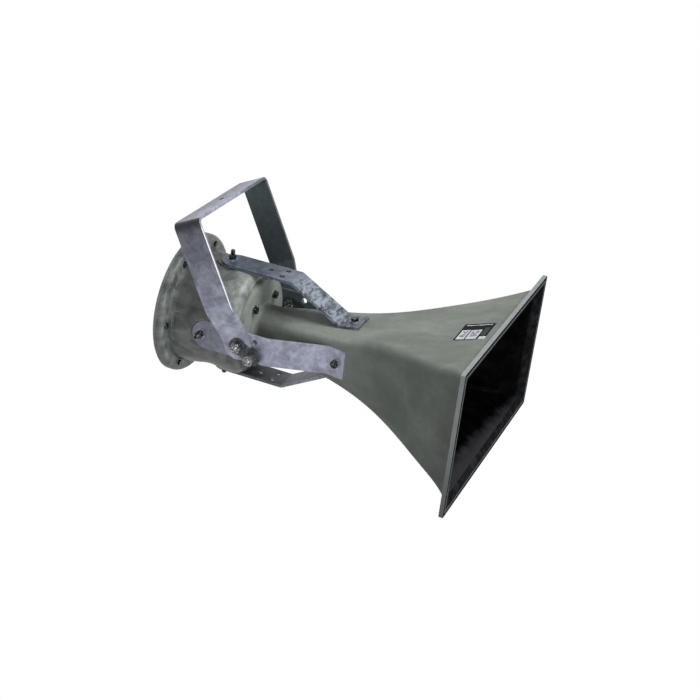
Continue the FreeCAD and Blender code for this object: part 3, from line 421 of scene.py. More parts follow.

# %% [markdown]
# ## Housing paint
#
# The driver housing and its cover are sand-cast aluminium under the same paint. Sand leaves
# a grainy skin, which needs real relief under the colour, and soft blotches where the paint
# is thinner. Painted shade darkens the waist behind the shoulder, the crease beside each side
# strut and the underside, and a painted highlight lies on the shoulder. Painted light and shade
# streak the edge of the flange, and the edges wear first, so they show a little pale metal.

# %% Housing paint
def housing_paint(name, dark, pale):
    """Paint on a sand-cast skin, from a dark tone and a pale one."""
    coat = Finish(name, Specular_IOR_Level=0.0, Coat_Weight=0.50, Coat_Roughness=0.26)
    blotches = grain(coat, 0.030, 4, 0.6, twist=0.4)
    pits = grain(coat, 0.0022, 4, 0.65)
    lumps = grain(coat, 0.009, 3, 0.5)
    colour = blend(coat, dark, pale, rise(coat, blotches, 0.30, 0.68))
    colour = shade(coat, colour, rise(coat, pits, 0.25, 0.7), 0.84, 1.10)
    spot = place(coat, centre=pivot)
    along, height = split(coat, spot, "X"), split(coat, spot, "Z")
    # Painted shade in the waist behind the shoulder, on its upper side.
    waist = rise(coat, along, -0.140, -0.122) * rise(coat, along, -0.040, -0.090)
    colour = shade(coat, colour, waist * rise(coat, height, -0.010, 0.040), 1.0, 0.34)
    # Painted highlight: the housing is paler from the shoulder forward.
    colour = shade(coat, colour, rise(coat, along, -0.075, -0.045), 1.0, 1.18)
    # Painted light and shade: pale and dark streaks along the flange's edge.
    rays = grain(coat, 0.020, 2, 0.5, at=place(coat, stretch=(0.12, 1, 1)), twist=0.2)
    flange = rise(coat, along, -0.118, -0.136)
    colour = blend(coat, colour, shade(coat, colour, rise(coat, rays, 0.36, 0.64), 0.76, 1.24), flange)
    # Painted shade in the crease beside each side strut.
    crease = waist * rise(coat, abs(height - 0.004), 0.016, 0.004) * rise(coat, along, -0.095, -0.110)
    colour = shade(coat, colour, crease, 1.0, 0.62)
    # Painted shade on the underside.
    colour = shade(coat, colour, rise(coat, facing(coat, (0, 0, -1)), 0.0, 0.6), 1.0, 0.68)
    worn = edges(coat, 0.0030) * rise(coat, grain(coat, 0.005, 3, 0.6), 0.36, 0.60)
    colour = blend(coat, colour, screen(170, 174, 174), worn * 0.7)
    skin = relief(coat, pits, 0.00025, relief(coat, lumps, 0.00050))
    return coat.feed(Base_Color=colour, Roughness=0.45 + blotches * 0.2, Normal=skin)


housing_coat = housing_paint("housing_paint", screen(90, 96, 94), screen(139, 144, 140))
cover_coat = housing_paint("cover_paint", screen(108, 114, 110), screen(130, 136, 132))
print("the housing's paint has", len(housing_coat.tree.nodes), "nodes")

# %% [markdown]
# ## Galvanised steel
#
# Bar that was dipped in molten zinc shows faint crystals, a bluish grey and dull cloudy
# patches. Voronoi cells make the crystals, and two sizes of noise make the clouds. Each
# bar then gets its touches, as small functions that take a colour and return it changed:
# they place marks, painted light and painted shade on some bars only, such as a darker inner face.

# %% Galvanised steel
CRYSTAL = 0.007
print("the zinc's crystals are about", CRYSTAL * 1000, "mm across")


def galvanised_steel(name, dark, pale, *touches):
    """Zinc with crystals and clouds, and then the touches of one bar."""
    zinc = Finish(name, Metallic=0.55)
    crystals = zinc.add("ShaderNodeTexVoronoi", {"feature": "F1"},
                        {"Vector": place(zinc), "Scale": 1 / CRYSTAL, "Randomness": 1.0}, out="Color")
    crystal = zinc.add("ShaderNodeSeparateColor", {"mode": "RGB"}, {0: crystals}, out=0)
    clouds = grain(zinc, 0.022, 4, 0.62, twist=0.5)
    runs = grain(zinc, 0.006, 4, 0.65)
    colour = blend(zinc, dark, pale, rise(zinc, clouds, 0.30, 0.68))
    colour = shade(zinc, colour, crystal, 0.94, 1.05)
    colour = shade(zinc, colour, rise(zinc, runs, 0.3, 0.7), 0.88, 1.09)
    bright = edges(zinc, 0.0009) * rise(zinc, runs, 0.35, 0.6)
    colour = blend(zinc, colour, screen(206, 209, 216), bright * 0.7)
    for touch in touches:
        colour = touch(zinc, colour)
    skin = relief(zinc, crystal, 0.00001, relief(zinc, runs, 0.00010))
    return zinc.feed(Base_Color=colour, Roughness=0.34 + clouds * 0.26, Normal=skin)


# %% [markdown]
# ## Touches on single bars
#
# The yoke's near arm has a sheared front edge with a painted highlight, its far arm is darker
# inside, and the bars are darker round their bolts. Such places could be painted on with an
# image, but a distance along the arm or from the pivot says the same in one line. So the
# directions and lengths that the touches use are measured from the CAD pieces first.

# %% Which way the yoke's arms go
arm_way = pivot.normalized()
front_way = Vector((-arm_way.z, 0, arm_way.x))
arm_length = pivot.length
yoke_points = [point.co for point in nodes["mounting_yoke"].data.vertices]
yoke_half = max(abs(point.y) for point in yoke_points if point.dot(arm_way) < arm_length / 2)
print("the yoke is", round(yoke_half * 2000, 1), "mm wide at its base")


def along_way(zinc, way):
    """How far a point lies along a direction from the base hole, which is the origin."""
    return vector_math(zinc, "DOT_PRODUCT", place(zinc), way, out="Value")


def far_side(zinc):
    """1 on the side of the horn that the photograph looks across to."""
    return rise(zinc, split(zinc, place(zinc), "Y"), 0.02, 0.06)


# %% Touches on the yoke
BEND_END = 0.026
print("the dark of the bend ends", BEND_END * 1000, "mm down the arm")


def arm_light_and_shade(zinc, colour):
    """Painted shade darkens the arms at the bend and the base bar's rear; painted light pales the tabs."""
    down = along_way(zinc, arm_way)
    upright = rise(zinc, abs(facing(zinc, (0, 1, 0))), 0.4, 0.8)
    # Painted shade and light: the arms darken towards the bend and pale towards the tabs.
    toned = shade(zinc, colour, rise(zinc, down, 0.02, arm_length - 0.02), 0.56, 1.42)
    # Painted shade: a dark band on the side faces at the bend.
    bend = rise(zinc, down, BEND_END, 0.006) * rise(zinc, abs(facing(zinc, (0, 1, 0))), 0.15, 0.5)
    # Painted light: the base bar is paler at its front and darker at its rear.
    base = shade(zinc, colour, rise(zinc, along_way(zinc, front_way), -0.022, 0.024), 0.66, 1.12)
    toned = blend(zinc, base, toned, upright)
    return blend(zinc, toned, screen(30, 34, 38), bend * 0.88)


def inner_face(zinc, colour):
    """The inner face and front edge of a bar on the far side are darker."""
    far = far_side(zinc)
    colour = shade(zinc, colour, far * rise(zinc, facing(zinc, front_way), 0.7, 0.9), 1.0, 0.42)
    dull = shade(zinc, screen(74, 84, 86), rise(zinc, along_way(zinc, arm_way), 0.12, 0.24), 1.0, 1.7)
    dull = shade(zinc, dull, rise(zinc, grain(zinc, 0.010, 4, 0.65), 0.3, 0.7), 0.84, 1.14)
    return blend(zinc, colour, dull, far * rise(zinc, facing(zinc, (0, -1, 0)), 0.2, 0.5))


def lit_cut_edge(zinc, colour):
    """The near arm's front edge is sheared, and a painted highlight makes it white."""
    near = rise(zinc, split(zinc, place(zinc), "Y"), 0.0032 - yoke_half, 0.0022 - yoke_half)
    down = along_way(zinc, arm_way)
    straight = rise(zinc, down, 0.012, 0.020) * rise(zinc, down, arm_length - 0.045, arm_length - 0.060)
    # Painted highlight: the sheared front edge of the near arm is white.
    sheared = near * straight * rise(zinc, facing(zinc, front_way), 0.85, 0.95)
    return blend(zinc, colour, screen(252, 252, 252), sheared)


# %% A dark patch round the pivot bolt and the lock bolt
lock_low, lock_high = (Vector(corner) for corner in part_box("lock_washers"))
lock_bolt = (lock_low + lock_high) / 2
between_bolts = (pivot + lock_bolt) / 2
bolts_slope = math.atan2(lock_bolt.z - pivot.z, lock_bolt.x - pivot.x)
PATCH_HALF_WIDTH = 0.0165
OBLONG = (0.52, 0, 1)
print("the lock bolt stands", round((lock_bolt - pivot).length * 1000, 1), "mm from the pivot bolt")


def dark_patch_round_bolts(zinc, colour):
    """A dark oblong patch lies round both bolts."""
    spot = place(zinc, centre=between_bolts, turn=(0, bolts_slope, 0))
    reach = vector_math(zinc, "LENGTH", vector_math(zinc, "MULTIPLY", spot, OBLONG), out="Value")
    patchy = (grain(zinc, 0.006, 3, 0.6) - 0.5) * 0.004
    patch = rise(zinc, reach + patchy, PATCH_HALF_WIDTH, PATCH_HALF_WIDTH - 0.0045)
    return shade(zinc, colour, patch, 1.0, 0.34)


# %% Touches on the struts
top_strut_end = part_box("strut_top")[1][0] - pivot.x
print("the top strut reaches", round(top_strut_end * 1000, 1), "mm past the pivot")


def past_pivot(zinc):
    """How far in front of the pivot a point lies."""
    return split(zinc, place(zinc, centre=pivot), "X")


def cross_bands(zinc, colour):
    """Dark and pale bands lie across the top strut's slope and foot, where the zinc ran."""
    along = past_pivot(zinc)
    ripple = grain(zinc, 0.012, 4, 0.66, at=place(zinc, stretch=(1.6, 0.5, 1)), twist=0.6)
    slope = rise(zinc, along, 0.040, 0.075)
    foot = rise(zinc, along, top_strut_end - 0.045, top_strut_end - 0.035)
    banded = blend(zinc, screen(50, 60, 70), screen(152, 161, 171), rise(zinc, ripple, 0.38, 0.62))
    colour = shade(zinc, colour, rise(zinc, along, -0.010, 0.040), 1.0, 1.34)
    return blend(zinc, colour, shade(zinc, banded, foot, 1.0, 0.66), slope * 0.85)


def dark_tail(zinc, colour):
    """A side strut's rear end is greyer, round its stud, and the far strut's upper edge is dull."""
    far_top = far_side(zinc) * rise(zinc, facing(zinc, (0, 0, 1)), 0.6, 0.9)
    colour = shade(zinc, colour, far_top, 1.0, 0.42)
    return shade(zinc, colour, rise(zinc, past_pivot(zinc), -0.050, 0.020), 0.62, 1.0)


def shaded_low_rear(zinc, colour):
    """Painted shade darkens the bottom strut's inner face at its rear."""
    return shade(zinc, colour, rise(zinc, past_pivot(zinc), 0.010, 0.075), 0.46, 1.0)


# %% Zinc for the yoke and the struts
yoke_zinc = galvanised_steel("galvanised_yoke", screen(116, 119, 133), screen(158, 161, 176),
                             arm_light_and_shade, inner_face, lit_cut_edge, dark_patch_round_bolts)
top_zinc = galvanised_steel("galvanised_top_bar", screen(62, 72, 84), screen(100, 108, 120), cross_bands)
side_zinc = galvanised_steel("galvanised_side_bars", screen(136, 139, 157), screen(172, 175, 192),
                             dark_tail, inner_face, dark_patch_round_bolts)
low_zinc = galvanised_steel("galvanised_low_bar", screen(106, 112, 118), screen(146, 150, 162),
                            shaded_low_rear)
print("the yoke's zinc has", len(yoke_zinc.tree.nodes), "nodes")

# %% [markdown]
# ## Fasteners and small metal parts
#
# Screws and nuts are zinc plated. Weather has left them mostly dark, and the plating shows
# bright in small specks and on their edges. Machined driver parts have fine turned rings,
# and castings stay rough. One maker with a few numbers covers them all.

# %% Small metal parts
EDGE_SHINE = 1.35
print("the edges of small parts are", EDGE_SHINE, "times as bright as their faces")


def small_metal(name, dark, pale, size=0.003, roughness=0.3, metallic=0.9, depth=0.00003, ring=None,
                worn=0.32):
    """A plated or cast metal, or a turned one with rings of that spacing round the horn's axis."""
    metal = Finish(name, Metallic=metallic)
    clouds = grain(metal, size, 4, 0.6)
    colour = blend(metal, dark, pale, rise(metal, clouds, worn, worn + 0.3))
    colour = shade(metal, colour, edges(metal, 0.0005), 1.0, EDGE_SHINE)
    height = grain(metal, size / 4, 3, 0.6)
    if ring:
        from_axis = place(metal, centre=pivot, stretch=(0, 1, 1))
        turns = vector_math(metal, "LENGTH", from_axis, out="Value") * (2 * math.pi / ring)
        height = height * 0.3 + metal.add("ShaderNodeMath", {"operation": "SINE"}, {0: turns})
    skin = relief(metal, height, depth)
    return metal.feed(Base_Color=colour, Roughness=roughness + clouds * 0.25 - 0.06, Normal=skin)


# %% Plated, turned and cast metals
zinc_plate = small_metal("zinc_plate", screen(84, 87, 90), screen(190, 193, 196), metallic=0.85)
dark_washers = small_metal("dark_washers", screen(38, 40, 42), screen(84, 86, 88), metallic=0.6)
turned_steel = small_metal("turned_steel", screen(120, 122, 126), screen(160, 162, 166), roughness=0.35,
                           ring=0.0009)
cast_metal = small_metal("cast_metal", screen(130, 132, 132), screen(166, 168, 168), size=0.006,
                         roughness=0.5, depth=0.0002)
thin_foil = small_metal("thin_foil", screen(170, 171, 174), screen(206, 208, 212), size=0.010,
                        roughness=0.28, depth=0.00002, ring=0.0030)
copper_wire = small_metal("copper_wire", screen(150, 84, 50), screen(196, 122, 78), size=0.002)
brass = small_metal("brass", screen(150, 118, 60), screen(200, 166, 92))
print("turned steel has", len(turned_steel.tree.nodes), "nodes, and brass", len(brass.tree.nodes))

# %% [markdown]
# ## Rubber, resin, felt and ferrite
#
# Dull dark materials still need some life: dust in the pores of rubber, fibres on felt,
# and the gritty skin of a pressed magnet.

# %% Dull parts
def dull_part(name, dark, pale, size, roughness, depth=0.00008, stretch=(1, 1, 1)):
    """A material with pores or fibres of that size and dust that lies in larger patches."""
    body = Finish(name, Roughness=roughness, IOR=1.5)
    pores = grain(body, size, 4, 0.65, at=place(body, stretch=stretch))
    dust = grain(body, size * 8, 3, 0.6)
    colour = blend(body, dark, pale, rise(body, pores, 0.35, 0.70))
    colour = shade(body, colour, rise(body, dust, 0.3, 0.7), 0.88, 1.12)
    skin = relief(body, pores, depth)
    return body.feed(Base_Color=colour, Roughness=roughness - 0.10 + pores * 0.2, Normal=skin)


ferrite = dull_part("ferrite", screen(44, 44, 46), screen(70, 70, 72), 0.0015, 0.75)
rubber = dull_part("rubber", screen(26, 26, 27), screen(50, 50, 50), 0.0012, 0.75)
amber_cloth = dull_part("amber_cloth", screen(120, 84, 40), screen(166, 126, 70), 0.0008, 0.6)
black_resin = dull_part("black_resin", screen(22, 22, 24), screen(38, 38, 40), 0.0010, 0.4, depth=0.00003)
black_nylon = dull_part("black_nylon", screen(24, 24, 26), screen(44, 44, 46), 0.0016, 0.5)
felt = dull_part("felt", screen(70, 70, 68), screen(120, 118, 112), 0.0012, 0.9, depth=0.0004,
                 stretch=(1, 0.3, 1))
print("rubber has", len(rubber.tree.nodes), "nodes")

# %% [markdown]
# ## Give each CAD piece its finish
#
# A CAD piece keeps its mesh, and only the material in its slots changes. The dictionary
# reads as a parts list: each finish, and the pieces that wear it.

# %% Hand the finishes out
finishes = {
    bell_coat: ["horn_bell"],
    housing_coat: ["driver_housing", "throat_gasket"],
    cover_coat: ["rear_cover"],
    yoke_zinc: ["mounting_yoke"],
    top_zinc: ["strut_top"],
    side_zinc: ["strut_left", "strut_right"],
    low_zinc: ["strut_bottom"],
    zinc_plate: ["strut_rear_washers", "strut_front_washers", "throat_washers", "driver_cap_screws",
                 "terminal_screws"],
    dark_washers: ["lock_washers", "pivot_washers"],
    turned_steel: ["driver_front_plate", "driver_pole_piece", "driver_rear_plate"],
    cast_metal: ["phase_plug", "diaphragm_clamp_ring", "driver_cap"],
    thin_foil: ["diaphragm"],
    copper_wire: ["voice_coil"],
    brass: ["driver_posts"],
    ferrite: ["driver_magnet"],
    rubber: ["cover_gasket", "driver_gasket", "gland_seal"],
    amber_cloth: ["diaphragm_surround"],
    black_resin: ["terminal_block", "driver_leads"],
    black_nylon: ["gland_body", "gland_locknut", "gland_cap"],
    felt: ["damping_pad"],
}
for finish, wearers in finishes.items():
    for name in wearers:
        for slot in nodes[name].material_slots:
            slot.material = finish.material
print("finishes:", len(finishes), "on", sum(len(wearers) for wearers in finishes.values()), "pieces")

# %% [markdown]
# ## Read the fasteners from the CAD
#
# The CAD has each nut and bolt as a plain hexagon and cylinder. To put a detailed one in
# exactly its place, its axis, its corners and its shoulders are measured from its mesh.
# The ends of a fastener are its largest flat faces, so the axis is the direction that most
# area faces. Loose solids in one mesh are told apart by walking from face to face, in the
# mesh's own order, so that each run measures the same end and the same corner.

# %% Tell loose solids apart
SAME_PLACE = 1e-6
SAME_LEVEL = 1e-5


def loose_solids(node):
    """The separate solids of a CAD node, each as a list of triangles' corners."""
    mesh = bmesh.new()
    mesh.from_mesh(nodes[node].data)
    bmesh.ops.remove_doubles(mesh, verts=mesh.verts, dist=SAME_PLACE)
    waiting = dict.fromkeys(mesh.faces)
    solids = []
    while waiting:
        reached = [waiting.popitem()[0]]
        for face in reached:
            near = [other for edge in face.edges for other in edge.link_faces if other in waiting]
            for other in dict.fromkeys(near):
                del waiting[other]
                reached.append(other)
        solids.append(np.array([[corner.co[:] for corner in face.verts] for face in reached]))
    mesh.free()
    return solids


print("the lock nuts are", len(loose_solids("lock_nuts")), "solids")

# %% Measure one fastener
SAME_FACING = 0.9995
SLANTED = (0.36, 0.48, 0.8)


def measure(triangles):
    """A fastener's axis, foot, way to a corner, (height, radius) levels and smallest radius."""
    cross = np.cross(triangles[:, 1] - triangles[:, 0], triangles[:, 2] - triangles[:, 0])
    area = np.linalg.norm(cross, axis=1) + 1e-15
    normal = cross / area[:, None]
    facing_area = (np.abs(normal @ normal.T) > SAME_FACING) @ area
    axis = normal[np.argmax(facing_area)]
    points = triangles.reshape(-1, 3)
    side = np.cross(axis, SLANTED)
    side /= np.linalg.norm(side)
    other = np.cross(axis, side)
    middle = sum(way * (np.max(points @ way) + np.min(points @ way)) / 2 for way in (side, other))
    height = points @ axis
    around = points - height[:, None] * axis - middle
    radius = np.linalg.norm(around, axis=1)
    low, high = height < height.min() + SAME_LEVEL, height > height.max() - SAME_LEVEL
    if radius[low].max() > radius[high].max() + SAME_LEVEL:
        axis, height = -axis, -height
    foot = middle + axis * height.min()
    steps = sorted(set(np.round(height - height.min(), 5)))
    levels = [(step, radius[np.abs(height - height.min() - step) < SAME_LEVEL].max()) for step in steps]
    corner = around[np.argmax(radius)]
    return Vector(axis), Vector(foot), Vector(corner).normalized(), levels, float(radius.min())


for name in ("strut_rear_nuts", "pivot_bolts", "cover_screws"):
    levels = measure(loose_solids(name)[0])[3]
    print(name, "levels in mm:", [tuple(round(float(size) * 1000, 2) for size in level) for level in levels])

# %% [markdown]
# ## Turned and hexagonal shapes
#
# A real nut is a hexagon whose corners are turned down to a cone, which leaves curved
# edges on its flats. A plain bevel can't make that. Here a ring of 48 points is extruded
# again and again, and each new ring is pushed out to a round or a hexagonal outline. A
# point of a hexagon that lies far out is also lowered, as a 30 degree cone lowers it.

# %% Push a ring of points to an outline
RING_POINTS = 48
HALF_SIDE = math.pi / 6


def hexagon_reach(angle, corner_radius):
    """How far a hexagon reaches in a direction, with a corner at angle 0."""
    return corner_radius * math.cos(HALF_SIDE) / math.cos((angle % (2 * HALF_SIDE)) - HALF_SIDE)


def stack_rings(mesh, rings, closed):
    """Extrudes a ring of points through levels.

    A round level is (height, radius). A hexagonal one is (height, radius, corner radius, slope),
    and what lies outside its radius drops by that slope.
    """
    points = bmesh.ops.create_circle(mesh, cap_ends=False, segments=RING_POINTS, radius=1.0)["verts"]
    loop = list(dict.fromkeys(edge for point in points for edge in point.link_edges))
    made = list(points)
    for number, (height, radius, *hexagon) in enumerate(rings):
        if number:
            geometry = bmesh.ops.extrude_edge_only(mesh, edges=loop)["geom"]
            points = [item for item in geometry if isinstance(item, bmesh.types.BMVert)]
            loop = [item for item in geometry if isinstance(item, bmesh.types.BMEdge)]
            made += points
        for point in points:
            angle = math.atan2(point.co.y, point.co.x)
            reach, drop = radius, 0.0
            if hexagon:
                corner_radius, slope = hexagon
                reach = hexagon_reach(angle, corner_radius)
                drop = slope * max(0.0, reach - radius)
            point.co = Vector((math.cos(angle) * reach, math.sin(angle) * reach, height - drop))
    if closed:
        bmesh.ops.remove_doubles(mesh, verts=made, dist=1e-7)
    else:
        own = set(made)
        ends = [edge for edge in mesh.edges if edge.is_boundary and edge.verts[0] in own]
        bmesh.ops.edgeloop_fill(mesh, edges=ends)


print("a hexagon of corner radius 10 reaches", round(hexagon_reach(HALF_SIDE, 10), 2), "at its flats")

# %% [markdown]
# ## Threads
#
# A screw thread is a small V that climbs as it goes round. The spin operator does just
# that when it is given a step along the axis for each step of turning. The V is a closed
# outline, a hair narrower than the pitch and rooted just inside the core, so each thread
# is a closed solid with a face over both its ends.

# %% Spin a thread
TURN_STEPS = 18
DEPTH_SHARE = 0.55
print("one turn of thread has", TURN_STEPS, "steps")


def cut_thread(mesh, start, end, radius, pitch):
    """A V thread of that outer radius from start to end, whose depth is returned."""
    depth = pitch * DEPTH_SHARE
    root = depth * 1.1
    turns = int((end - start) / pitch) - 1
    profile = [mesh.verts.new((radius - reach, 0, start + pitch * climb))
               for reach, climb in ((root, 0.02), (0, 0.45), (0, 0.55), (root, 0.98))]
    outline = [mesh.edges.new(pair) for pair in zip(profile, profile[1:] + profile[:1])]
    spun = bmesh.ops.spin(mesh, geom=profile + outline, cent=(0, 0, 0), axis=(0, 0, 1),
                          dvec=(0, 0, pitch / TURN_STEPS), angle=2 * math.pi * turns,
                          steps=turns * TURN_STEPS, use_merge=False, use_duplicate=False)
    last = [item for item in spun["geom_last"] if isinstance(item, bmesh.types.BMVert)]
    for cap in (profile, last):
        bmesh.ops.contextual_create(mesh, geom=cap)
    return depth


# %% Build nuts, bolts and studs
CONE_SLOPE = math.tan(math.radians(30))
FACE_SHARE = 0.94
LIP_SHARE = 1.12
BOLT_POINT = 0.12
STUD_POINT = 0.15
DISH_EDGE = 0.80
DISH_FLOOR = 0.74
DISH_DEPTH = 0.05
print("a corner of a nut drops", round(CONE_SLOPE, 3), "mm for each mm outside its face")


def turned_face(corner_radius):
    """The radius of the round flat face on a nut or a head."""
    return corner_radius * math.cos(HALF_SIDE) * FACE_SHARE


def nut(mesh, levels, bore):
    """A hexagon nut with both faces turned down and a chamfered bore."""
    top, corner_radius = levels[-1]
    face = turned_face(corner_radius)
    lip = bore * LIP_SHARE
    stack_rings(mesh, [
        (top - lip + bore, bore), (top, lip), (top, face), (top, face, corner_radius, CONE_SLOPE),
        (0, face, corner_radius, -CONE_SLOPE), (0, face), (0, lip), (lip - bore, bore),
        (top - lip + bore, bore)], closed=True)


def bolt(mesh, levels, pitch):
    """A bolt with a pointed shank, a thread if it has a pitch, and a hexagon head with a dish."""
    shank_radius = levels[0][1]
    top, corner_radius = levels[-1]
    under = next(height for height, radius in levels if radius > shank_radius * 1.2)
    face = turned_face(corner_radius)
    core = shank_radius
    if pitch:
        core = shank_radius - cut_thread(mesh, 0.0, under, shank_radius, pitch)
    tip = shank_radius * BOLT_POINT
    stack_rings(mesh, [
        (0, core - tip), (tip, core), (under, core), (under, face),
        (under, face, corner_radius, -CONE_SLOPE), (top, face, corner_radius, CONE_SLOPE), (top, face),
        (top, face * DISH_EDGE), (top - face * DISH_DEPTH, face * DISH_FLOOR)], closed=False)


def stud(mesh, levels, pitch):
    """A threaded rod with both ends turned to a point."""
    length, radius = levels[-1]
    core = radius - cut_thread(mesh, 0.0, length, radius, pitch)
    tip = radius * STUD_POINT
    stack_rings(mesh, [(0, core - tip), (tip, core), (length - tip, core), (length, core - tip)],
                closed=False)


# %% [markdown]
# ## Put the fasteners in place
#
# Each detailed fastener is made upright at the origin, turned so that its Z lies on the
# measured axis and its corner on the measured corner, and moved to its foot. The group
# then stands for the CAD node, which stays in the model for the collision checks only,
# hidden.

# %% Plating for the fasteners
dull_plate = small_metal("dull_plated_steel", screen(24, 26, 27), screen(176, 180, 180), size=0.0024,
                         roughness=0.20, worn=0.48)
bright_plate = small_metal("bright_plated_steel", screen(16, 18, 19), screen(232, 234, 236), size=0.0015,
                           roughness=0.18, worn=0.41)
print("bright plating has", len(bright_plate.tree.nodes), "nodes")

# %% Replace a node of plain fasteners
SMOOTH_LIMIT = math.radians(32)


def detailed(node, body, finish, build):
    """Replaces a CAD node of fasteners by detailed ones in the same places."""
    mesh = bmesh.new()
    for triangles in loose_solids(node):
        axis, foot, corner, levels, bore = measure(triangles)
        one = bmesh.new()
        build(one, levels, bore)
        bmesh.ops.recalc_face_normals(one, faces=one.faces)
        turn = Matrix((corner, axis.cross(corner), axis)).transposed().to_4x4()
        bmesh.ops.transform(one, matrix=Matrix.Translation(foot) @ turn, verts=one.verts)
        piece = bpy.data.meshes.new("one")
        one.to_mesh(piece)
        one.free()
        mesh.from_mesh(piece)
        bpy.data.meshes.remove(piece)
    for edge in mesh.edges:
        edge.smooth = len(edge.link_faces) == 2 and edge.calc_face_angle(0) < SMOOTH_LIMIT
    for face in mesh.faces:
        face.smooth = True
    data = bpy.data.meshes.new(node + "_detailed")
    mesh.to_mesh(data)
    mesh.free()
    data.materials.append(finish.material)
    piece = bpy.data.objects.new(node + "_detailed", data)
    bpy.context.collection.objects.link(piece)
    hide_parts(node)
    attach(piece, body)
    print(node, "has", len(data.polygons), "faces")


# %% Studs, nuts and bolts in their places
MM = 0.001
M8_PITCH = 1.25 * MM
M10_PITCH = 1.5 * MM
NO_THREAD = None

detailed("strut_rear_studs", "speaker", dull_plate, lambda mesh, levels, bore: stud(mesh, levels, M8_PITCH))
for name, plate in (("strut_rear_nuts", dull_plate), ("pivot_nuts", bright_plate),
                    ("lock_nuts", bright_plate)):
    detailed(name, "speaker", plate, nut)
for name, plate, pitch in (
        ("strut_front_bolts", dull_plate, NO_THREAD), ("pivot_bolts", bright_plate, M10_PITCH),
        ("lock_bolts", bright_plate, M10_PITCH), ("throat_bolts", dull_plate, NO_THREAD),
        ("cover_screws", dull_plate, NO_THREAD)):
    detailed(name, "speaker", plate, lambda mesh, levels, bore: bolt(mesh, levels, pitch))

# %% [markdown]
# ## A blank label
#
# The bell carries a printed sticker behind the mouth. Here it has plain fields of grey and
# black and no words. A flat grid is turned, laid over the bell and dropped straight down
# onto it, so it follows the flare, and Solidify gives it the thickness of foil.

# %% Lay the label on the bell
LABEL_LENGTH = 0.0505
LABEL_WIDTH = 0.070
LABEL_TURN = math.radians(1)
LABEL_AT = Vector((pivot.x + 0.3763, -0.0116, bell_high.z + 0.05))
GLUE = 0.00005
FOIL = 0.00025

bell_mesh = bmesh.new()
bell_mesh.from_mesh(nodes["horn_bell"].data)
bell_tree = BVHTree.FromBMesh(bell_mesh)
bell_mesh.free()
sticker = bmesh.new()
bmesh.ops.create_grid(sticker, x_segments=16, y_segments=24, size=0.5, calc_uvs=True)
sheet_map = sticker.loops.layers.uv.verify()
for face in sticker.faces:
    for loop in face.loops:
        loop[sheet_map].uv = (loop.vert.co.y + 0.5, loop.vert.co.x + 0.5)
bmesh.ops.scale(sticker, vec=(LABEL_LENGTH, LABEL_WIDTH, 1), verts=sticker.verts)
bmesh.ops.rotate(sticker, matrix=Matrix.Rotation(LABEL_TURN, 3, "Z"), verts=sticker.verts)
bmesh.ops.translate(sticker, vec=LABEL_AT, verts=sticker.verts)
for point in sticker.verts:
    hit, normal = bell_tree.ray_cast(point.co, Vector((0, 0, -1)))[:2]
    point.co = hit + normal * GLUE
for face in sticker.faces:
    face.smooth = True
label_data = bpy.data.meshes.new("label")
sticker.to_mesh(label_data)
sticker.free()
label = bpy.data.objects.new("label", label_data)
bpy.context.collection.objects.link(label)
foil = label.modifiers.new("foil", "SOLIDIFY")
foil.thickness = FOIL
foil.offset = 1.0
print("label lies at height", round(label_data.vertices[0].co.z, 4))


# %% Print the label's fields
PALE_FIELDS = ((0.04, 0.62, 0.06, 0.33), (0.03, 0.60, 0.37, 0.72), (0.89, 0.93, 0.08, 0.92),
               (0.0, 0.17, 0.79, 1.0))
GREY_FIELD = (0.24, 0.72, 0.78, 0.93)
RUBBED_FIELDS = ((0.18, 0.56, 0.11, 0.28), (0.18, 0.56, 0.43, 0.66))


def label_print():
    """Black ink with pale fields, each given by its left, right, low and high edge as a share."""
    ink = Finish("label_print", Specular_IOR_Level=0.0, Coat_Weight=0.10, Coat_Roughness=0.2)
    spread = ink.add("ShaderNodeUVMap")
    across, along = split(ink, spread, "X"), split(ink, spread, "Y")

    def field(left, right, low, high):
        """1 inside a rectangle of the label."""
        return (across > left) * (across < right) * (along > low) * (along < high)

    rub = grain(ink, 0.0020, 4, 0.65)
    colour = blend(ink, screen(14, 16, 16), screen(34, 37, 36), rub)
    colour = blend(ink, colour, screen(64, 70, 66), field(*GREY_FIELD))
    pale = blend(ink, screen(176, 181, 184), screen(222, 224, 226), rise(ink, rub, 0.3, 0.7))
    for sides in PALE_FIELDS:
        colour = blend(ink, colour, pale, field(*sides))
    for sides in RUBBED_FIELDS:
        scratched = rise(ink, grain(ink, 0.003, 3), 0.40, 0.60)
        colour = blend(ink, colour, screen(96, 98, 112), field(*sides) * scratched)
    colour = shade(ink, colour, rise(ink, grain(ink, 0.012, 3), 0.3, 0.7), 0.92, 1.04)
    return ink.feed(Base_Color=colour, Roughness=0.35 + rub * 0.2, Normal=relief(ink, rub, 0.00002))


label_data.materials.append(label_print().material)
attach(label, "speaker")
print("pale fields on the label:", len(PALE_FIELDS))

# %% [markdown]
# ## Floor and light
#
# The speaker hangs from its yoke, so the floor is far below. A broad lamp above the mouth
# gives the pale top and the darker sides of the photograph. A weaker one at the front left
# lifts the near side, a faint one behind shows the back, and the world fills the rest. The
# camera, reflections and clear things see the background as plain white. Matt surfaces
# don't, so it doesn't light them.

# %% Floor
FLOOR_LEVEL = -2.8
FLOOR_HALF = 40
WHITE = (1, 1, 1, 1)
WHITE_TO = ("Camera", "Glossy", "Transmission")


def white_to_the_eye(graph, lit, white):
    """Shows a shader as lit, but white to camera, glossy and transmission rays."""
    rays = [graph.add("ShaderNodeLightPath", out=f"Is {kind} Ray") for kind in WHITE_TO]
    seen = rays[0] + rays[1] + rays[2]
    return graph.add("ShaderNodeMixShader", None, {0: seen, 1: lit, 2: white})


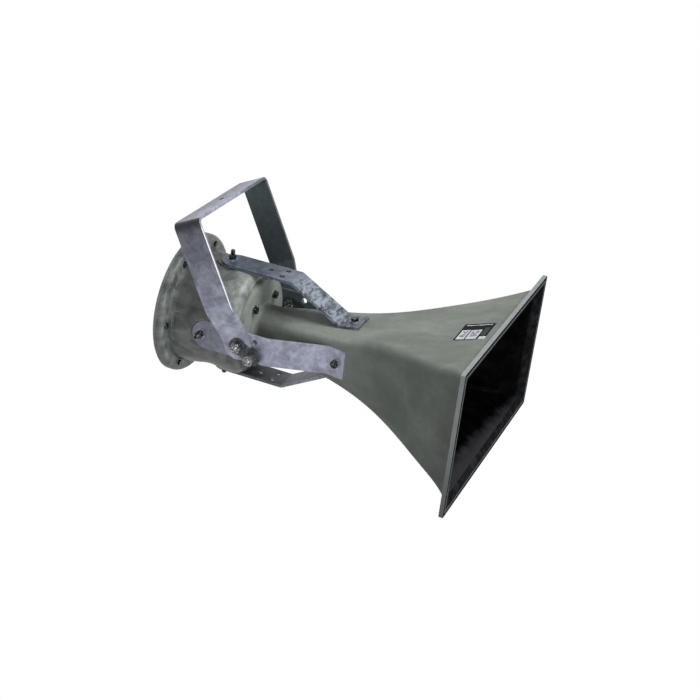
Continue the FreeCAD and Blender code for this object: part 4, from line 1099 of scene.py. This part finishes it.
floor_mesh = bmesh.new()
bmesh.ops.create_grid(floor_mesh, x_segments=2, y_segments=2, size=FLOOR_HALF)
bmesh.ops.translate(floor_mesh, vec=(0, 0, FLOOR_LEVEL), verts=floor_mesh.verts)
floor_data = bpy.data.meshes.new("floor")
floor_mesh.to_mesh(floor_data)
floor_mesh.free()
floor = bpy.data.objects.new("floor", floor_data)
bpy.context.collection.objects.link(floor)
floor_paper = Finish("floor_paper", Roughness=0.9)
fibres = grain(floor_paper, 0.4)
floor_paper.feed(Base_Color=blend(floor_paper, screen(232, 232, 232), screen(240, 240, 240), fibres))
glow = floor_paper.add("ShaderNodeEmission", None, {"Color": WHITE, "Strength": 1.0})
floor_lit = Wire(floor_paper, floor_paper.shader.outputs[0])
floor_paper.show(white_to_the_eye(floor_paper, floor_lit, glow))
floor_data.materials.append(floor_paper.material)
print("the floor lies", -FLOOR_LEVEL, "m below the yoke")

# %% World
FILL = 0.20
COOL = (0.93, 0.96, 1.0, 1)

world = bpy.data.worlds.new("studio")
bpy.context.scene.world = world
sky = Graph(world)
fill = sky.add("ShaderNodeBackground", None, {"Color": COOL, "Strength": FILL})
backdrop = sky.add("ShaderNodeBackground", None, {"Color": WHITE, "Strength": 1.0})
sky.show(white_to_the_eye(sky, fill, backdrop), "World Output")
print("the world's fill has strength", FILL)


# %% Lamps
def lamp(name, at, aim, size, power):
    """A square soft lamp that points at a place."""
    data = bpy.data.lights.new(name, "AREA")
    data.size = size
    data.energy = power
    made = bpy.data.objects.new(name, data)
    made.location = at
    made.rotation_mode = "QUATERNION"
    made.rotation_quaternion = (Vector(aim) - Vector(at)).to_track_quat("-Z", "Y")
    bpy.context.collection.objects.link(made)


lamp("top_lamp", (1.20, -0.10, 1.75), (0.20, 0, -0.2), 1.4, 46)
lamp("left_lamp", (1.9, -2.1, 0.6), (0.1, 0, -0.2), 1.2, 28)
lamp("back_lamp", (-2.4, 1.2, 0.4), (0.1, 0, -0.2), 1.2, 12)
print("lamps:", [lamp_data.name for lamp_data in bpy.data.lights])
